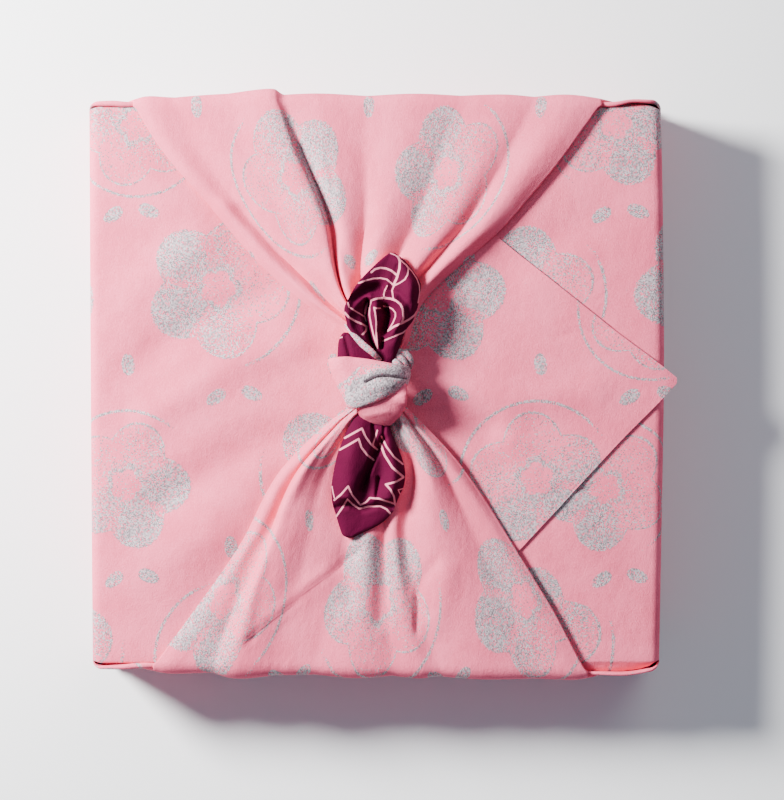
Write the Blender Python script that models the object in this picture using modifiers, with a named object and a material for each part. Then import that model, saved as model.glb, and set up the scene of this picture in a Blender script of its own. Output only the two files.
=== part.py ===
"""A furoshiki parcel: one square cloth folded round a flat square box shape and tied on its face.

The cloth lies as one sheet from side to side: left flap, left wall, underside, right wall, right flap.
An end sheet comes up from the underside at each end, narrows over the face in radial folds and runs
into a square knot, whose two free ends are the tails. The parcel is hollow, because only cloth shows.
Metres, +Z up. The parcel lies on its back with the knot on top. The origin is the centre of its
underside, +X is towards the right flap and +Y towards the upper end.
"""

import math
from collections import namedtuple

import bmesh
import bpy
from mathutils import Vector

# The cloth
CLOTH_THICKNESS = 0.0013
END_CLOTH_THICKNESS = 0.0011
TAIL_THICKNESS = 0.0016

# The side-to-side sheet, at the middle of its thickness
WALL_X = 0.14435
CORNER_Y = 0.139
UNDERSIDE_Z = CLOTH_THICKNESS / 2
LOWER_BEND = 0.00395
UPPER_BEND = 0.00495
RIGHT_FACE_Z = 0.0456
LEFT_FACE_Z = 0.0473
FACE_CROWN = 0.0012
FACE_WAVE = 0.0003
WAVE_LENGTH = 0.085
WAVE_LEAN = (0.9, 0.45)
BULGE_FROM_Z = 0.005
BULGE_RISE = 0.035
LEAN_FROM_X = 0.120
LEAN_RUN = 0.024
SHEET_COLUMNS = 11

# The flap that crosses the face last ends in a corner a little past the right wall
LEFT_TIP = (0.1505, 0.0025)
LEFT_EDGE_SLOPES = (1.0796, 0.797)
RIGHT_TIP = (-0.138, 0.0)
RIGHT_EDGE_SLOPES = (0.83, 0.90)
BLUNT_CORNER = 0.0015
FACE_STEPS = 15
END_DROP = 0.015
DROP_RUN = 0.020
DROP_OUT = 0.0012

# The pocket lips, which are the cloth of the side walls carried round each corner behind the end sheet
LIP_Y = 0.1424
LIP_CORNER = 0.0044
LIP_TOP = ((0.0, 0.0474), (0.5, 0.0478), (0.85, 0.0470), (1.15, 0.0454), (2.0, 0.0450))
LIP_OPENS_FROM_Z = 0.024
LIP_OPENING = 0.016
LIP_SHARES = (0.0, 0.2, 0.4, 0.7, 1.0, 1.3, 1.6)
Corner = namedtuple("Corner", "name side end covered_at lip_out")
CORNERS = (
    Corner("upper left", -1, 1, 0.020, ((0.0, 0.0004), (0.4, 0.0007), (0.7, 0.0002), (1.0, 0.0))),
    Corner("upper right", 1, 1, 0.027, ((0.0, 0.0010), (0.4, 0.0014), (0.7, 0.0002), (1.0, 0.0))),
    Corner("lower left", -1, -1, 0.029, ((0.0, 0.0004), (0.4, 0.0007), (0.7, 0.0002), (1.0, 0.0))),
    Corner("lower right", 1, -1, 0.032, ((0.0, 0.0020), (0.4, 0.0038), (1.0, 0.0034), (1.6, 0.0026))),
)

# How far each side wall leans out at the top, along its length in Y
LEFT_WALL_OUT = ((-0.139, -0.0014), (0.0, -0.0004), (0.139, 0.0003))
RIGHT_WALL_OUT = ((-0.139, -0.0009), (-0.060, 0.0006), (0.010, 0.0016), (0.090, 0.0010), (0.139, 0.0))

# The end sheets, at the middle of their thickness
END_WALL_Y = 0.1442
END_START_Y = 0.128
END_LOWER_BEND = 0.0045
END_UPPER_BEND = 0.0050
END_FACE_Z = 0.0508
END_HALF_AT_FLOOR = 0.1395
END_WALL_ROWS_Z = (0.018, 0.032)
FACE_EDGE_Y = 0.142
KNOT_Y = 0.008
KNOT_LIFT = 0.0035
KNOT_LIFT_FROM = 0.55
END_FACE_STEPS = 13
WALL_OUT_FADES_BY = 0.25
WIDE_APART = 0.05
FOLD_UNDER = 0.014
FOLD_UNDER_SHARE = 0.36
FOLD_RADIUS = 0.000875
FOLDS_AT = (0.0, 0.5, 0.79, 1.0)

Fold = namedtuple("Fold", "name across lift")
EndSheet = namedtuple("EndSheet", "name end left right wall_out folds")

UPPER_FOLDS = (
    Fold("left edge", (0.0, 0.0, 0.0, 0.0), (0.0, 0.0, 0.0, 0.0010)),
    Fold("edge band", (0.03, 0.05, 0.11, 0.08), (0.0004, 0.0010, 0.0022, 0.0030)),
    Fold("edge trough", (0.10, 0.115, 0.215, 0.16), (0.0003, 0.0002, 0.0005, 0.0026)),
    Fold("left panel", (0.20, 0.22, 0.28, 0.24), (0.0010, 0.0020, 0.0030, 0.0042)),
    Fold("main ridge", (0.29, 0.345, 0.335, 0.31), (0.0022, 0.0042, 0.0044, 0.0046)),
    Fold("valley", (0.325, 0.38, 0.365, 0.38), (0.0004, 0.0006, 0.0016, 0.0038)),
    Fold("second ridge", (0.40, 0.42, 0.40, 0.45), (0.0009, 0.0036, 0.0050, 0.0048)),
    Fold("panel trough", (0.50, 0.50, 0.50, 0.52), (0.0005, 0.0014, 0.0022, 0.0040)),
    Fold("third ridge", (0.60, 0.57, 0.58, 0.59), (0.0010, 0.0030, 0.0042, 0.0048)),
    Fold("soft trough", (0.70, 0.675, 0.67, 0.66), (0.0004, 0.0008, 0.0012, 0.0038)),
    Fold("fourth ridge", (0.79, 0.79, 0.77, 0.74), (0.0008, 0.0030, 0.0042, 0.0044)),
    Fold("deep trough", (0.86, 0.86, 0.85, 0.82), (0.0002, 0.0003, 0.0005, 0.0026)),
    Fold("edge roll", (0.93, 0.93, 0.93, 0.92), (0.0010, 0.0026, 0.0032, 0.0030)),
    Fold("right edge", (1.0, 1.0, 1.0, 1.0), (0.0, 0.0, 0.0, 0.0010)),
)
LOWER_FOLDS = (
    Fold("left edge", (0.0, 0.0, 0.0, 0.0), (0.0, 0.0, 0.0, 0.0010)),
    Fold("edge band", (0.04, 0.035, 0.045, 0.06), (0.0008, 0.0016, 0.0022, 0.0026)),
    Fold("edge trough", (0.13, 0.085, 0.09, 0.12), (0.0002, 0.0003, 0.0006, 0.0026)),
    Fold("main ridge", (0.19, 0.115, 0.13, 0.19), (0.0016, 0.0040, 0.0046, 0.0044)),
    Fold("left panel", (0.28, 0.24, 0.24, 0.27), (0.0008, 0.0018, 0.0024, 0.0042)),
    Fold("soft trough", (0.37, 0.38, 0.36, 0.36), (0.0004, 0.0005, 0.0010, 0.0040)),
    Fold("middle ridge", (0.47, 0.47, 0.46, 0.45), (0.0012, 0.0016, 0.0018, 0.0044)),
    Fold("middle trough", (0.55, 0.53, 0.57, 0.54), (0.0003, 0.0004, 0.0008, 0.0040)),
    Fold("tail ridge", (0.61, 0.57, 0.66, 0.63), (0.0010, 0.0012, 0.0014, 0.0042)),
    Fold("tail trough", (0.66, 0.615, 0.74, 0.71), (0.0003, 0.0003, 0.0005, 0.0034)),
    Fold("right panel", (0.76, 0.74, 0.82, 0.80), (0.0010, 0.0030, 0.0042, 0.0044)),
    Fold("right trough", (0.88, 0.88, 0.89, 0.88), (0.0005, 0.0010, 0.0012, 0.0026)),
    Fold("edge roll", (0.955, 0.955, 0.95, 0.94), (0.0007, 0.0013, 0.0018, 0.0026)),
    Fold("right edge", (1.0, 1.0, 1.0, 1.0), (0.0, 0.0, 0.0, 0.0010)),
)
END_SHEETS = (
    EndSheet(
        "upper_end_sheet",
        1,
        ((0.010, -0.0085), (0.0265, -0.0139), (0.0404, -0.0335), (0.0505, -0.0459), (0.0651, -0.0615),
         (0.0905, -0.0830), (0.1191, -0.1074), (0.142, -0.1213)),
        ((0.010, 0.0095), (0.020, 0.0149), (0.0429, 0.0240), (0.0698, 0.0527), (0.0788, 0.0627),
         (0.0958, 0.0777), (0.1138, 0.0926), (0.142, 0.1132)),
        ((-0.138, 0.0), (-0.121, 0.0001), (-0.055, 0.0017), (0.0, 0.0011), (0.060, 0.0012), (0.113, 0.0004),
         (0.138, 0.0002)),
        UPPER_FOLDS,
    ),
    EndSheet(
        "lower_end_sheet",
        -1,
        ((0.010, -0.0100), (0.020, -0.0240), (0.0448, -0.0482), (0.0826, -0.0686), (0.142, -0.1112)),
        ((0.010, 0.0135), (0.0398, 0.0416), (0.0857, 0.0716), (0.142, 0.1060)),
        ((-0.138, 0.0), (-0.111, 0.0002), (-0.081, 0.0006), (-0.003, 0.0018), (0.050, 0.0025), (0.095, 0.0035),
         (0.108, 0.0038), (0.138, 0.0026)),
        LOWER_FOLDS,
    ),
)

# The knot: each band is a row of flattened rings, from where it comes up to where it goes down
Ring = namedtuple("Ring", "x y z turn width thick")
LEFT_TO_RIGHT_BAND = (
    Ring(-0.0095, 0.0010, 0.0578, -22, 0.0190, 0.0050),
    Ring(-0.0145, 0.0014, 0.0590, -24, 0.0226, 0.0050),
    Ring(-0.0174, 0.0014, 0.0627, -25, 0.0254, 0.0050),
    Ring(-0.0156, 0.0012, 0.0670, -25, 0.0264, 0.0052),
    Ring(-0.0105, 0.0010, 0.0696, -20, 0.0255, 0.0060),
    Ring(-0.0020, 0.0018, 0.0706, -8, 0.0220, 0.0066),
    Ring(0.0060, 0.0028, 0.0698, 4, 0.0170, 0.0068),
    Ring(0.0118, 0.0035, 0.0670, 12, 0.0128, 0.0064),
    Ring(0.0145, 0.0036, 0.0625, 16, 0.0116, 0.0058),
    Ring(0.0132, 0.0034, 0.0588, 18, 0.0110, 0.0052),
    Ring(0.0095, 0.0030, 0.0574, 18, 0.0105, 0.0048),
)
LOWER_LOOP = (
    Ring(0.0050, 0.0040, 0.0600, 85, 0.0150, 0.0080),
    Ring(0.0045, -0.0030, 0.0640, 80, 0.0190, 0.0080),
    Ring(0.0030, -0.0090, 0.0655, 74, 0.0215, 0.0080),
    Ring(0.0015, -0.0145, 0.0640, 70, 0.0205, 0.0080),
    Ring(0.0006, -0.0172, 0.0590, 68, 0.0185, 0.0075),
    Ring(0.0010, -0.0130, 0.0555, 68, 0.0160, 0.0070),
)
# The narrow roll of cloth that lies up the middle of the upper tail
INNER_TUBE = (
    Ring(0.0000, 0.0120, 0.0622, -90, 0.0048, 0.0040),
    Ring(0.0002, 0.0200, 0.0662, -90, 0.0054, 0.0046),
    Ring(0.0000, 0.0300, 0.0682, -90, 0.0058, 0.0050),
    Ring(-0.0004, 0.0395, 0.0668, -90, 0.0052, 0.0044),
    Ring(-0.0006, 0.0425, 0.0635, -90, 0.0040, 0.0036),
)
RING_SIDES = 14
RING_FLATNESS = 0.8
HEART_CENTRE = (0.0, -0.001, 0.0590)
HEART_RADII = (0.0125, 0.0165, 0.0072)

# The tails, each a leaf of folded cloth: left and right edge and the height across it, at rows along Y
Leaf = namedtuple("Leaf", "y left right heights")
LEAF_ACROSS = (0.0, 0.15, 0.32, 0.5, 0.68, 0.85, 1.0)
UPPER_TAIL = (
    Leaf(0.0100, -0.0035, 0.0075, (0.0620, 0.0620, 0.0618, 0.0618, 0.0620, 0.0622, 0.0622)),
    Leaf(0.0180, -0.0060, 0.0105, (0.0645, 0.0635, 0.0625, 0.0622, 0.0640, 0.0650, 0.0640)),
    Leaf(0.0270, -0.0127, 0.0146, (0.0660, 0.0638, 0.0622, 0.0616, 0.0640, 0.0660, 0.0640)),
    Leaf(0.0320, -0.0145, 0.0188, (0.0665, 0.0636, 0.0616, 0.0612, 0.0645, 0.0668, 0.0636)),
    Leaf(0.0380, -0.0154, 0.0209, (0.0662, 0.0630, 0.0608, 0.0610, 0.0645, 0.0668, 0.0628)),
    Leaf(0.0440, -0.0127, 0.0222, (0.0650, 0.0622, 0.0604, 0.0610, 0.0642, 0.0660, 0.0618)),
    Leaf(0.0500, -0.0092, 0.0227, (0.0636, 0.0616, 0.0602, 0.0610, 0.0634, 0.0646, 0.0606)),
    Leaf(0.0550, -0.0050, 0.0202, (0.0622, 0.0610, 0.0600, 0.0606, 0.0624, 0.0630, 0.0598)),
    Leaf(0.0600, 0.0000, 0.0166, (0.0608, 0.0602, 0.0598, 0.0602, 0.0612, 0.0612, 0.0592)),
    Leaf(0.0640, 0.0045, 0.0125, (0.0596, 0.0596, 0.0594, 0.0596, 0.0598, 0.0596, 0.0588)),
    Leaf(0.0659, 0.0070, 0.0097, (0.0590, 0.0590, 0.0590, 0.0590, 0.0590, 0.0588, 0.0586)),
)
LOWER_TAIL = (
    Leaf(-0.0130, -0.0090, 0.0070, (0.0600, 0.0600, 0.0600, 0.0596, 0.0596, 0.0600, 0.0600)),
    Leaf(-0.0220, -0.0138, 0.0076, (0.0600, 0.0610, 0.0614, 0.0606, 0.0600, 0.0606, 0.0594)),
    Leaf(-0.0330, -0.0184, 0.0120, (0.0592, 0.0612, 0.0618, 0.0612, 0.0586, 0.0606, 0.0590)),
    Leaf(-0.0420, -0.0206, 0.0147, (0.0586, 0.0610, 0.0620, 0.0602, 0.0578, 0.0608, 0.0588)),
    Leaf(-0.0500, -0.0219, 0.0144, (0.0584, 0.0608, 0.0616, 0.0580, 0.0584, 0.0608, 0.0586)),
    Leaf(-0.0560, -0.0219, 0.0118, (0.0584, 0.0606, 0.0606, 0.0576, 0.0596, 0.0606, 0.0584)),
    Leaf(-0.0600, -0.0214, 0.0102, (0.0576, 0.0584, 0.0580, 0.0572, 0.0580, 0.0584, 0.0574)),
    Leaf(-0.0645, -0.0200, 0.0080, (0.0568, 0.0574, 0.0574, 0.0570, 0.0572, 0.0572, 0.0566)),
    Leaf(-0.0700, -0.0184, 0.0020, (0.0560, 0.0568, 0.0570, 0.0568, 0.0568, 0.0566, 0.0560)),
    Leaf(-0.0750, -0.0166, -0.0080, (0.0554, 0.0560, 0.0562, 0.0562, 0.0562, 0.0558, 0.0554)),
    Leaf(-0.0766, -0.0142, -0.0112, (0.0552, 0.0552, 0.0554, 0.0554, 0.0554, 0.0552, 0.0552)),
)

# The rolled corner that stands in the upper tail, an open funnel of cloth
Hoop = namedtuple("Hoop", "x y z half_x half_y slant rise_x rise_y")
UPPER_ROLL = (
    Hoop(0.0068, 0.0170, 0.0640, 0.0030, 0.0030, 0.0, 0.0002, -0.0006),
    Hoop(0.0078, 0.0225, 0.0664, 0.0040, 0.0050, -0.0004, 0.0004, -0.0010),
    Hoop(0.0086, 0.0285, 0.0684, 0.0050, 0.0074, -0.0012, 0.0008, -0.0016),
    Hoop(0.0090, 0.0335, 0.0696, 0.0056, 0.0088, -0.0020, 0.0014, -0.0024),
)
HOOP_SIDES = 16
ROLL_THICKNESS = 0.0012

# Pink cotton
CLOTH_COLOUR = (0.78, 0.42, 0.45, 1.0)
CLOTH_ROUGHNESS = 0.85


def smooth(t):
    """0 to 1 with level ends."""
    t = min(max(t, 0.0), 1.0)
    return t * t * (3.0 - 2.0 * t)


def along(table, t):
    """A smooth curve through the table's (place, value) rows, level past its ends."""
    places = [row[0] for row in table]
    values = [row[1] for row in table]
    if t <= places[0]:
        return values[0]
    if t >= places[-1]:
        return values[-1]
    after = next(i for i, place in enumerate(places) if place > t)
    before = after - 1
    step = places[after] - places[before]

    def slope(i):
        low, high = max(i - 1, 0), min(i + 1, len(places) - 1)
        return (values[high] - values[low]) / (places[high] - places[low])

    s = (t - places[before]) / step
    return (
        values[before] * (2 * s**3 - 3 * s**2 + 1)
        + values[after] * (3 * s**2 - 2 * s**3)
        + slope(before) * step * (s**3 - 2 * s**2 + s)
        + slope(after) * step * (s**3 - s**2)
    )


def face_lie(x, y):
    """Height of the face's soft crown and waves, the same for every layer, and nothing at the edges."""
    inside_x = max(0.0, 1.0 - (x / (WALL_X - UPPER_BEND)) ** 2)
    inside_y = max(0.0, 1.0 - (y / CORNER_Y) ** 2)
    across = WAVE_LEAN[0] * x + WAVE_LEAN[1] * y
    wave = math.sin(math.tau * across / WAVE_LENGTH) * math.cos(math.tau * y / (2 * WAVE_LENGTH))
    return (FACE_CROWN + FACE_WAVE * wave) * inside_x * inside_y


def wall_rise(z):
    """0 at the foot of a wall and 1 at its top: how much of the wall's bulge there is at this height."""
    return smooth((z - BULGE_FROM_Z) / BULGE_RISE)


def lip_opening(z):
    """How far a lip has opened at this height: nothing where the end sheet still covers it."""
    return smooth((z - LIP_OPENS_FROM_Z) / LIP_OPENING)


class Cloth:
    """An open sheet made from grids of points, sewn where their points fall together."""

    def __init__(self):
        self.points = []
        self.index = {}
        self.faces = []

    def point(self, place):
        key = tuple(round(value, 7) for value in place)
        if key not in self.index:
            self.index[key] = len(self.points)
            self.points.append(place)
        return self.index[key]

    def add_grid(self, rows):
        numbers = [[self.point(place) for place in row] for row in rows]
        for row, following in zip(numbers, numbers[1:]):
            for column in range(len(row) - 1):
                around = (row[column], row[column + 1], following[column + 1], following[column])
                corners = list(dict.fromkeys(around))
                if len(corners) > 2:
                    self.faces.append(corners)

    def as_object(self, name, thickness):
        mesh = bpy.data.meshes.new(name)
        mesh.from_pydata(self.points, [], self.faces)
        work = bmesh.new()
        work.from_mesh(mesh)
        bmesh.ops.recalc_face_normals(work, faces=work.faces)
        work.to_mesh(mesh)
        work.free()
        sheet = bpy.data.objects.new(name, mesh)
        solid = sheet.modifiers.new("Cloth thickness", "SOLIDIFY")
        solid.thickness = thickness
        solid.offset = 0.0
        solid.use_even_offset = True
        solid.use_quality_normals = True
        return sheet


def lean(place):
    """The point moved out with the side wall it belongs to."""
    x, y, z = place
    table = LEFT_WALL_OUT if x < 0 else RIGHT_WALL_OUT
    side = -1 if x < 0 else 1
    near_wall = smooth((abs(x) - LEAN_FROM_X) / LEAN_RUN)
    return (x + side * along(table, y) * near_wall * wall_rise(z), y, z)


def flap_rows(side, level, tip, slopes):
    """Rows of one side flap from its corner to its wall's bend: (x, lowest y, highest y)."""
    tip_x, tip_y = tip
    direction = -side
    low_slope, high_slope = slopes

    def edges(x):
        run = (tip_x - x) * direction + BLUNT_CORNER
        return max(-CORNER_Y, tip_y - run * low_slope), min(CORNER_Y, tip_y + run * high_slope)

    bend_x = side * (WALL_X - UPPER_BEND)
    places = [tip_x + (bend_x - tip_x) * (step / FACE_STEPS) ** 1.15 for step in range(FACE_STEPS + 1)]
    low_corner = tip_x - direction * ((CORNER_Y + tip_y) / low_slope - BLUNT_CORNER)
    high_corner = tip_x - direction * ((CORNER_Y - tip_y) / high_slope - BLUNT_CORNER)
    for corner in (low_corner, high_corner):
        nearest = min(range(1, FACE_STEPS), key=lambda i: abs(places[i] - corner))
        places[nearest] = corner
    rows = [(x, *edges(x)) for x in places]
    return rows, low_corner, high_corner


def across_row(low, high):
    return [low + (high - low) * i / (SHEET_COLUMNS - 1) for i in range(SHEET_COLUMNS)]


def add_end_drop(cloth, flap, corner_x, side, end, level):
    """The flap's end, turned down behind the end wall from the corner of its cut edge to the side wall."""
    rows = []
    for x, low, high in flap:
        run = (corner_x - x) * -side
        if run < -1e-9:
            continue
        share = smooth(run / DROP_RUN) if run > 1e-6 else 0.0
        y = high if end > 0 else low
        z = level + face_lie(x, y)
        profile = (
            (0.0, 0.0),
            (0.45 * DROP_OUT, -0.12 * DROP_OUT),
            (0.85 * DROP_OUT, -0.50 * DROP_OUT),
            (DROP_OUT, -1.2 * DROP_OUT),
            (DROP_OUT, -0.5 * END_DROP),
            (DROP_OUT, -END_DROP),
        )
        rows.append([lean((x, y + end * out * share, z + down * share)) for out, down in profile])
    cloth.add_grid(rows)


def wall_rows(side, level):
    """(x, z) down one side: the upper bend, the wall and the lower bend, ending on the underside."""
    centre_x = WALL_X - UPPER_BEND
    centre_z = level - UPPER_BEND
    upper = [
        (centre_x + UPPER_BEND * math.sin(math.radians(a)), centre_z + UPPER_BEND * math.cos(math.radians(a)))
        for a in (30, 60)
    ]
    foot_z = UNDERSIDE_Z + LOWER_BEND
    wall = [(WALL_X, centre_z + (foot_z - centre_z) * share) for share in (0.0, 0.33, 0.67, 1.0)]
    foot_x = WALL_X - LOWER_BEND
    lower = [
        (foot_x + LOWER_BEND * math.sin(math.radians(a)), foot_z - LOWER_BEND * math.cos(math.radians(a)))
        for a in (60, 30, 0)
    ]
    return [[(side * x, z) for x, z in part] for part in (upper, wall, lower)]


def add_lip(cloth, corner, wall, lower):
    """The side wall's cloth carried round one corner: it stands open at the top as a pocket."""
    top_z = wall[0][1]
    foot_z = wall[-1][1]
    rows = []
    for x, z in wall + lower[:2]:
        shrink = 1.0 if z >= foot_z else (abs(x) - (WALL_X - LOWER_BEND)) / LOWER_BEND
        radius_x = LIP_CORNER - LOWER_BEND * (1.0 - shrink)
        radius_y = (LIP_Y - CORNER_Y) * radius_x / LIP_CORNER
        rise = max(0.0, (z - foot_z) / (top_z - foot_z))
        row = []
        for a in (0, 30, 60, 90):
            turn = math.radians(a)
            share = a / 90
            out = along(corner.lip_out, 0.0) * share * lip_opening(z)
            top = top_z + (along(LIP_TOP, 0.0) - top_z) * share
            row.append(
                lean((
                    x - corner.side * radius_x * (1.0 - math.cos(turn)),
                    corner.end * (CORNER_Y + radius_y * math.sin(turn) + out),
                    z + (top - top_z) * rise,
                ))
            )
        rows.append(row)
    cloth.add_grid(rows)
    straight = []
    for x, z in wall:
        rise = (z - foot_z) / (top_z - foot_z)
        row = []
        for share in LIP_SHARES:
            out = along(corner.lip_out, share) * lip_opening(z)
            row.append(
                lean((
                    x - corner.side * (LIP_CORNER + share * corner.covered_at),
                    corner.end * (LIP_Y + out),
                    z + (along(LIP_TOP, share) - top_z) * rise,
                ))
            )
        straight.append(row)
    cloth.add_grid(straight)


def side_to_side_sheet():
    """Left flap, left wall, underside, right wall and right flap in one sheet, with its lips and drops."""
    cloth = Cloth()
    path = []
    for side, level, tip, slopes in (
        (-1, LEFT_FACE_Z, LEFT_TIP, LEFT_EDGE_SLOPES),
        (1, RIGHT_FACE_Z, RIGHT_TIP, RIGHT_EDGE_SLOPES),
    ):
        flap, low_corner, high_corner = flap_rows(side, level, tip, slopes)
        rows = [[lean((x, y, level + face_lie(x, y))) for y in across_row(low, high)] for x, low, high in flap]
        upper, wall, lower = wall_rows(side, level)
        for x, z in upper + wall + lower:
            rows.append([lean((x, y, z)) for y in across_row(-CORNER_Y, CORNER_Y)])
        path.append(rows)
        add_end_drop(cloth, flap, low_corner, side, -1, level)
        add_end_drop(cloth, flap, high_corner, side, 1, level)
        for corner in CORNERS:
            if corner.side == side:
                add_lip(cloth, corner, wall, lower)
    left, right = path
    foot_x = WALL_X - LOWER_BEND
    underside = [
        [(foot_x * share, y, UNDERSIDE_Z) for y in across_row(-CORNER_Y, CORNER_Y)] for share in (-0.5, 0.0, 0.5)
    ]
    cloth.add_grid(left + underside + right[::-1])
    return cloth.as_object("wrap_cloth", CLOTH_THICKNESS)


def end_wall_path():
    """The end sheet from the underside up to its upper bend: (y, z, outward y, outward z)."""
    foot = END_WALL_Y - END_LOWER_BEND
    top_z = END_FACE_Z - END_UPPER_BEND
    path = [(END_START_Y, UNDERSIDE_Z, 0.0, -1.0), (foot, UNDERSIDE_Z, 0.0, -1.0)]
    for degrees in (30, 60, 90):
        turn = math.radians(degrees)
        y = foot + END_LOWER_BEND * math.sin(turn)
        z = UNDERSIDE_Z + END_LOWER_BEND * (1.0 - math.cos(turn))
        path.append((y, z, math.sin(turn), -math.cos(turn)))
    path += [(END_WALL_Y, z, 1.0, 0.0) for z in (*END_WALL_ROWS_Z, top_z)]
    for degrees in (30, 60):
        turn = math.radians(degrees)
        y = END_WALL_Y - END_UPPER_BEND * (1.0 - math.cos(turn))
        z = top_z + END_UPPER_BEND * math.sin(turn)
        path.append((y, z, math.cos(turn), math.sin(turn)))
    return path


def fold_columns(folds):
    """Each fold line, and one halfway to the next where they lie wide apart: (across, lift) as tables."""
    lines = []
    for fold, following in zip(folds, folds[1:]):
        lines.append((tuple(zip(FOLDS_AT, fold.across)), tuple(zip(FOLDS_AT, fold.lift))))
        if following.across[0] - fold.across[0] > WIDE_APART:
            across = [(a + b) / 2 for a, b in zip(fold.across, following.across)]
            lift = [(a + b) / 2 for a, b in zip(fold.lift, following.lift)]
            lines.append((tuple(zip(FOLDS_AT, across)), tuple(zip(FOLDS_AT, lift))))
    lines.append((tuple(zip(FOLDS_AT, folds[-1].across)), tuple(zip(FOLDS_AT, folds[-1].lift))))
    return lines


def end_wall_rows(sheet, lines):
    """The end sheet's rows over its wall, which narrows from the floor to the face."""
    top_z = END_FACE_Z - END_UPPER_BEND
    top_left = along(sheet.left, FACE_EDGE_Y)
    top_right = along(sheet.right, FACE_EDGE_Y)
    rows = []
    for y, z, out_y, out_z in end_wall_path():
        climb = min(1.0, max(0.0, (z - UNDERSIDE_Z) / (top_z - UNDERSIDE_Z)))
        left = -END_HALF_AT_FLOOR + (top_left + END_HALF_AT_FLOOR) * climb
        right = END_HALF_AT_FLOOR + (top_right - END_HALF_AT_FLOOR) * climb
        row = []
        for across, lift in lines:
            x = left + (right - left) * along(across, 0.0)
            out = along(sheet.wall_out, x) * wall_rise(z)
            raised = along(lift, 0.0) * wall_rise(z)
            row.append((x, sheet.end * (y + out + out_y * raised), z + out_z * raised))
        rows.append(row)
    return rows


def end_face_rows(sheet, lines):
    """The end sheet's rows over the face, gathered from its full width at the end wall to the knot."""
    first_y = END_WALL_Y - END_UPPER_BEND
    rows = []
    for step in range(END_FACE_STEPS + 1):
        y = first_y - (first_y - KNOT_Y) * step / END_FACE_STEPS
        run = (FACE_EDGE_Y - y) / (FACE_EDGE_Y - KNOT_Y)
        left = along(sheet.left, y)
        right = along(sheet.right, y)
        rise = KNOT_LIFT * smooth((run - KNOT_LIFT_FROM) / (1.0 - KNOT_LIFT_FROM))
        row = []
        for across, lift in lines:
            x = left + (right - left) * along(across, run)
            out = along(sheet.wall_out, x) * (1.0 - smooth(run / WALL_OUT_FADES_BY))
            z = END_FACE_Z + face_lie(x, sheet.end * y) + rise + along(lift, run)
            row.append((x, sheet.end * (y + out), z))
        rows.append(row)
    return rows


def turned_under(edge, side, width):
    """One row of the hem of cloth that is folded back under the end sheet's edge."""
    row = [edge]
    for degrees in (45, 90, 135, 180):
        turn = math.radians(degrees)
        x = edge[0] + side * FOLD_RADIUS * math.sin(turn)
        row.append((x, edge[1], edge[2] - FOLD_RADIUS * (1.0 - math.cos(turn))))
    for share in (0.4, 1.0):
        x = edge[0] - side * width * share
        lie = face_lie(x, edge[1]) - face_lie(edge[0], edge[1])
        row.append((x, edge[1], edge[2] - 2.0 * FOLD_RADIUS + lie))
    return row


def end_sheet(sheet):
    """One end sheet from the underside over its wall and the face into the knot, its edges folded under."""
    cloth = Cloth()
    lines = fold_columns(sheet.folds)
    face = end_face_rows(sheet, lines)
    cloth.add_grid(end_wall_rows(sheet, lines) + face)
    for side, column in ((-1, 0), (1, -1)):
        cloth.add_grid([
            turned_under(row[column], side, min(FOLD_UNDER, FOLD_UNDER_SHARE * (row[-1][0] - row[0][0])))
            for row in face
        ])
    return cloth.as_object(sheet.name, END_CLOTH_THICKNESS)


def closed_loft(name, rings):
    """A closed solid through rings of equally many points, with a flat cap at each end."""
    mesh = bpy.data.meshes.new(name)
    count = len(rings[0])
    points = [tuple(place) for ring in rings for place in ring]
    faces = []
    for ring in range(len(rings) - 1):
        for side in range(count):
            a = ring * count + side
            b = ring * count + (side + 1) % count
            faces.append((a, b, b + count, a + count))
    faces.append(tuple(range(count)))
    faces.append(tuple(range((len(rings) - 1) * count, len(rings) * count)))
    mesh.from_pydata(points, [], faces)
    work = bmesh.new()
    work.from_mesh(mesh)
    bmesh.ops.recalc_face_normals(work, faces=work.faces)
    work.to_mesh(mesh)
    work.free()
    return bpy.data.objects.new(name, mesh)


def band(name, table):
    """A flattened roll of cloth along the table's rings, each ring square to the roll."""
    centres = [Vector((ring.x, ring.y, ring.z)) for ring in table]
    rings = []
    for i, ring in enumerate(table):
        run = (centres[min(i + 1, len(table) - 1)] - centres[max(i - 1, 0)]).normalized()
        turn = math.radians(ring.turn)
        wide = Vector((math.sin(turn), math.cos(turn), 0.0))
        wide = (wide - run * wide.dot(run)).normalized()
        thick = run.cross(wide).normalized()
        points = []
        for side in range(RING_SIDES):
            a = math.tau * side / RING_SIDES
            flat = math.copysign(abs(math.sin(a)) ** RING_FLATNESS, math.sin(a))
            points.append(centres[i] + wide * (ring.width / 2 * math.cos(a)) + thick * (ring.thick / 2 * flat))
        rings.append(points)
    return closed_loft(name, rings)


def knot_heart():
    """The two gathered sheets inside the knot, pressed together."""
    bpy.ops.mesh.primitive_uv_sphere_add(segments=16, ring_count=8, radius=1.0, location=(0, 0, 0))
    heart = bpy.context.object
    heart.name = "knot_heart"
    for vertex in heart.data.vertices:
        vertex.co = Vector(c + r * v for c, r, v in zip(HEART_CENTRE, HEART_RADII, vertex.co))
    bpy.context.collection.objects.unlink(heart)
    return heart


def tail(name, table):
    cloth = Cloth()
    cloth.add_grid([
        [(row.left + (row.right - row.left) * across, row.y, z) for across, z in zip(LEAF_ACROSS, row.heights)]
        for row in table
    ])
    return cloth.as_object(name, TAIL_THICKNESS)


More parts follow.
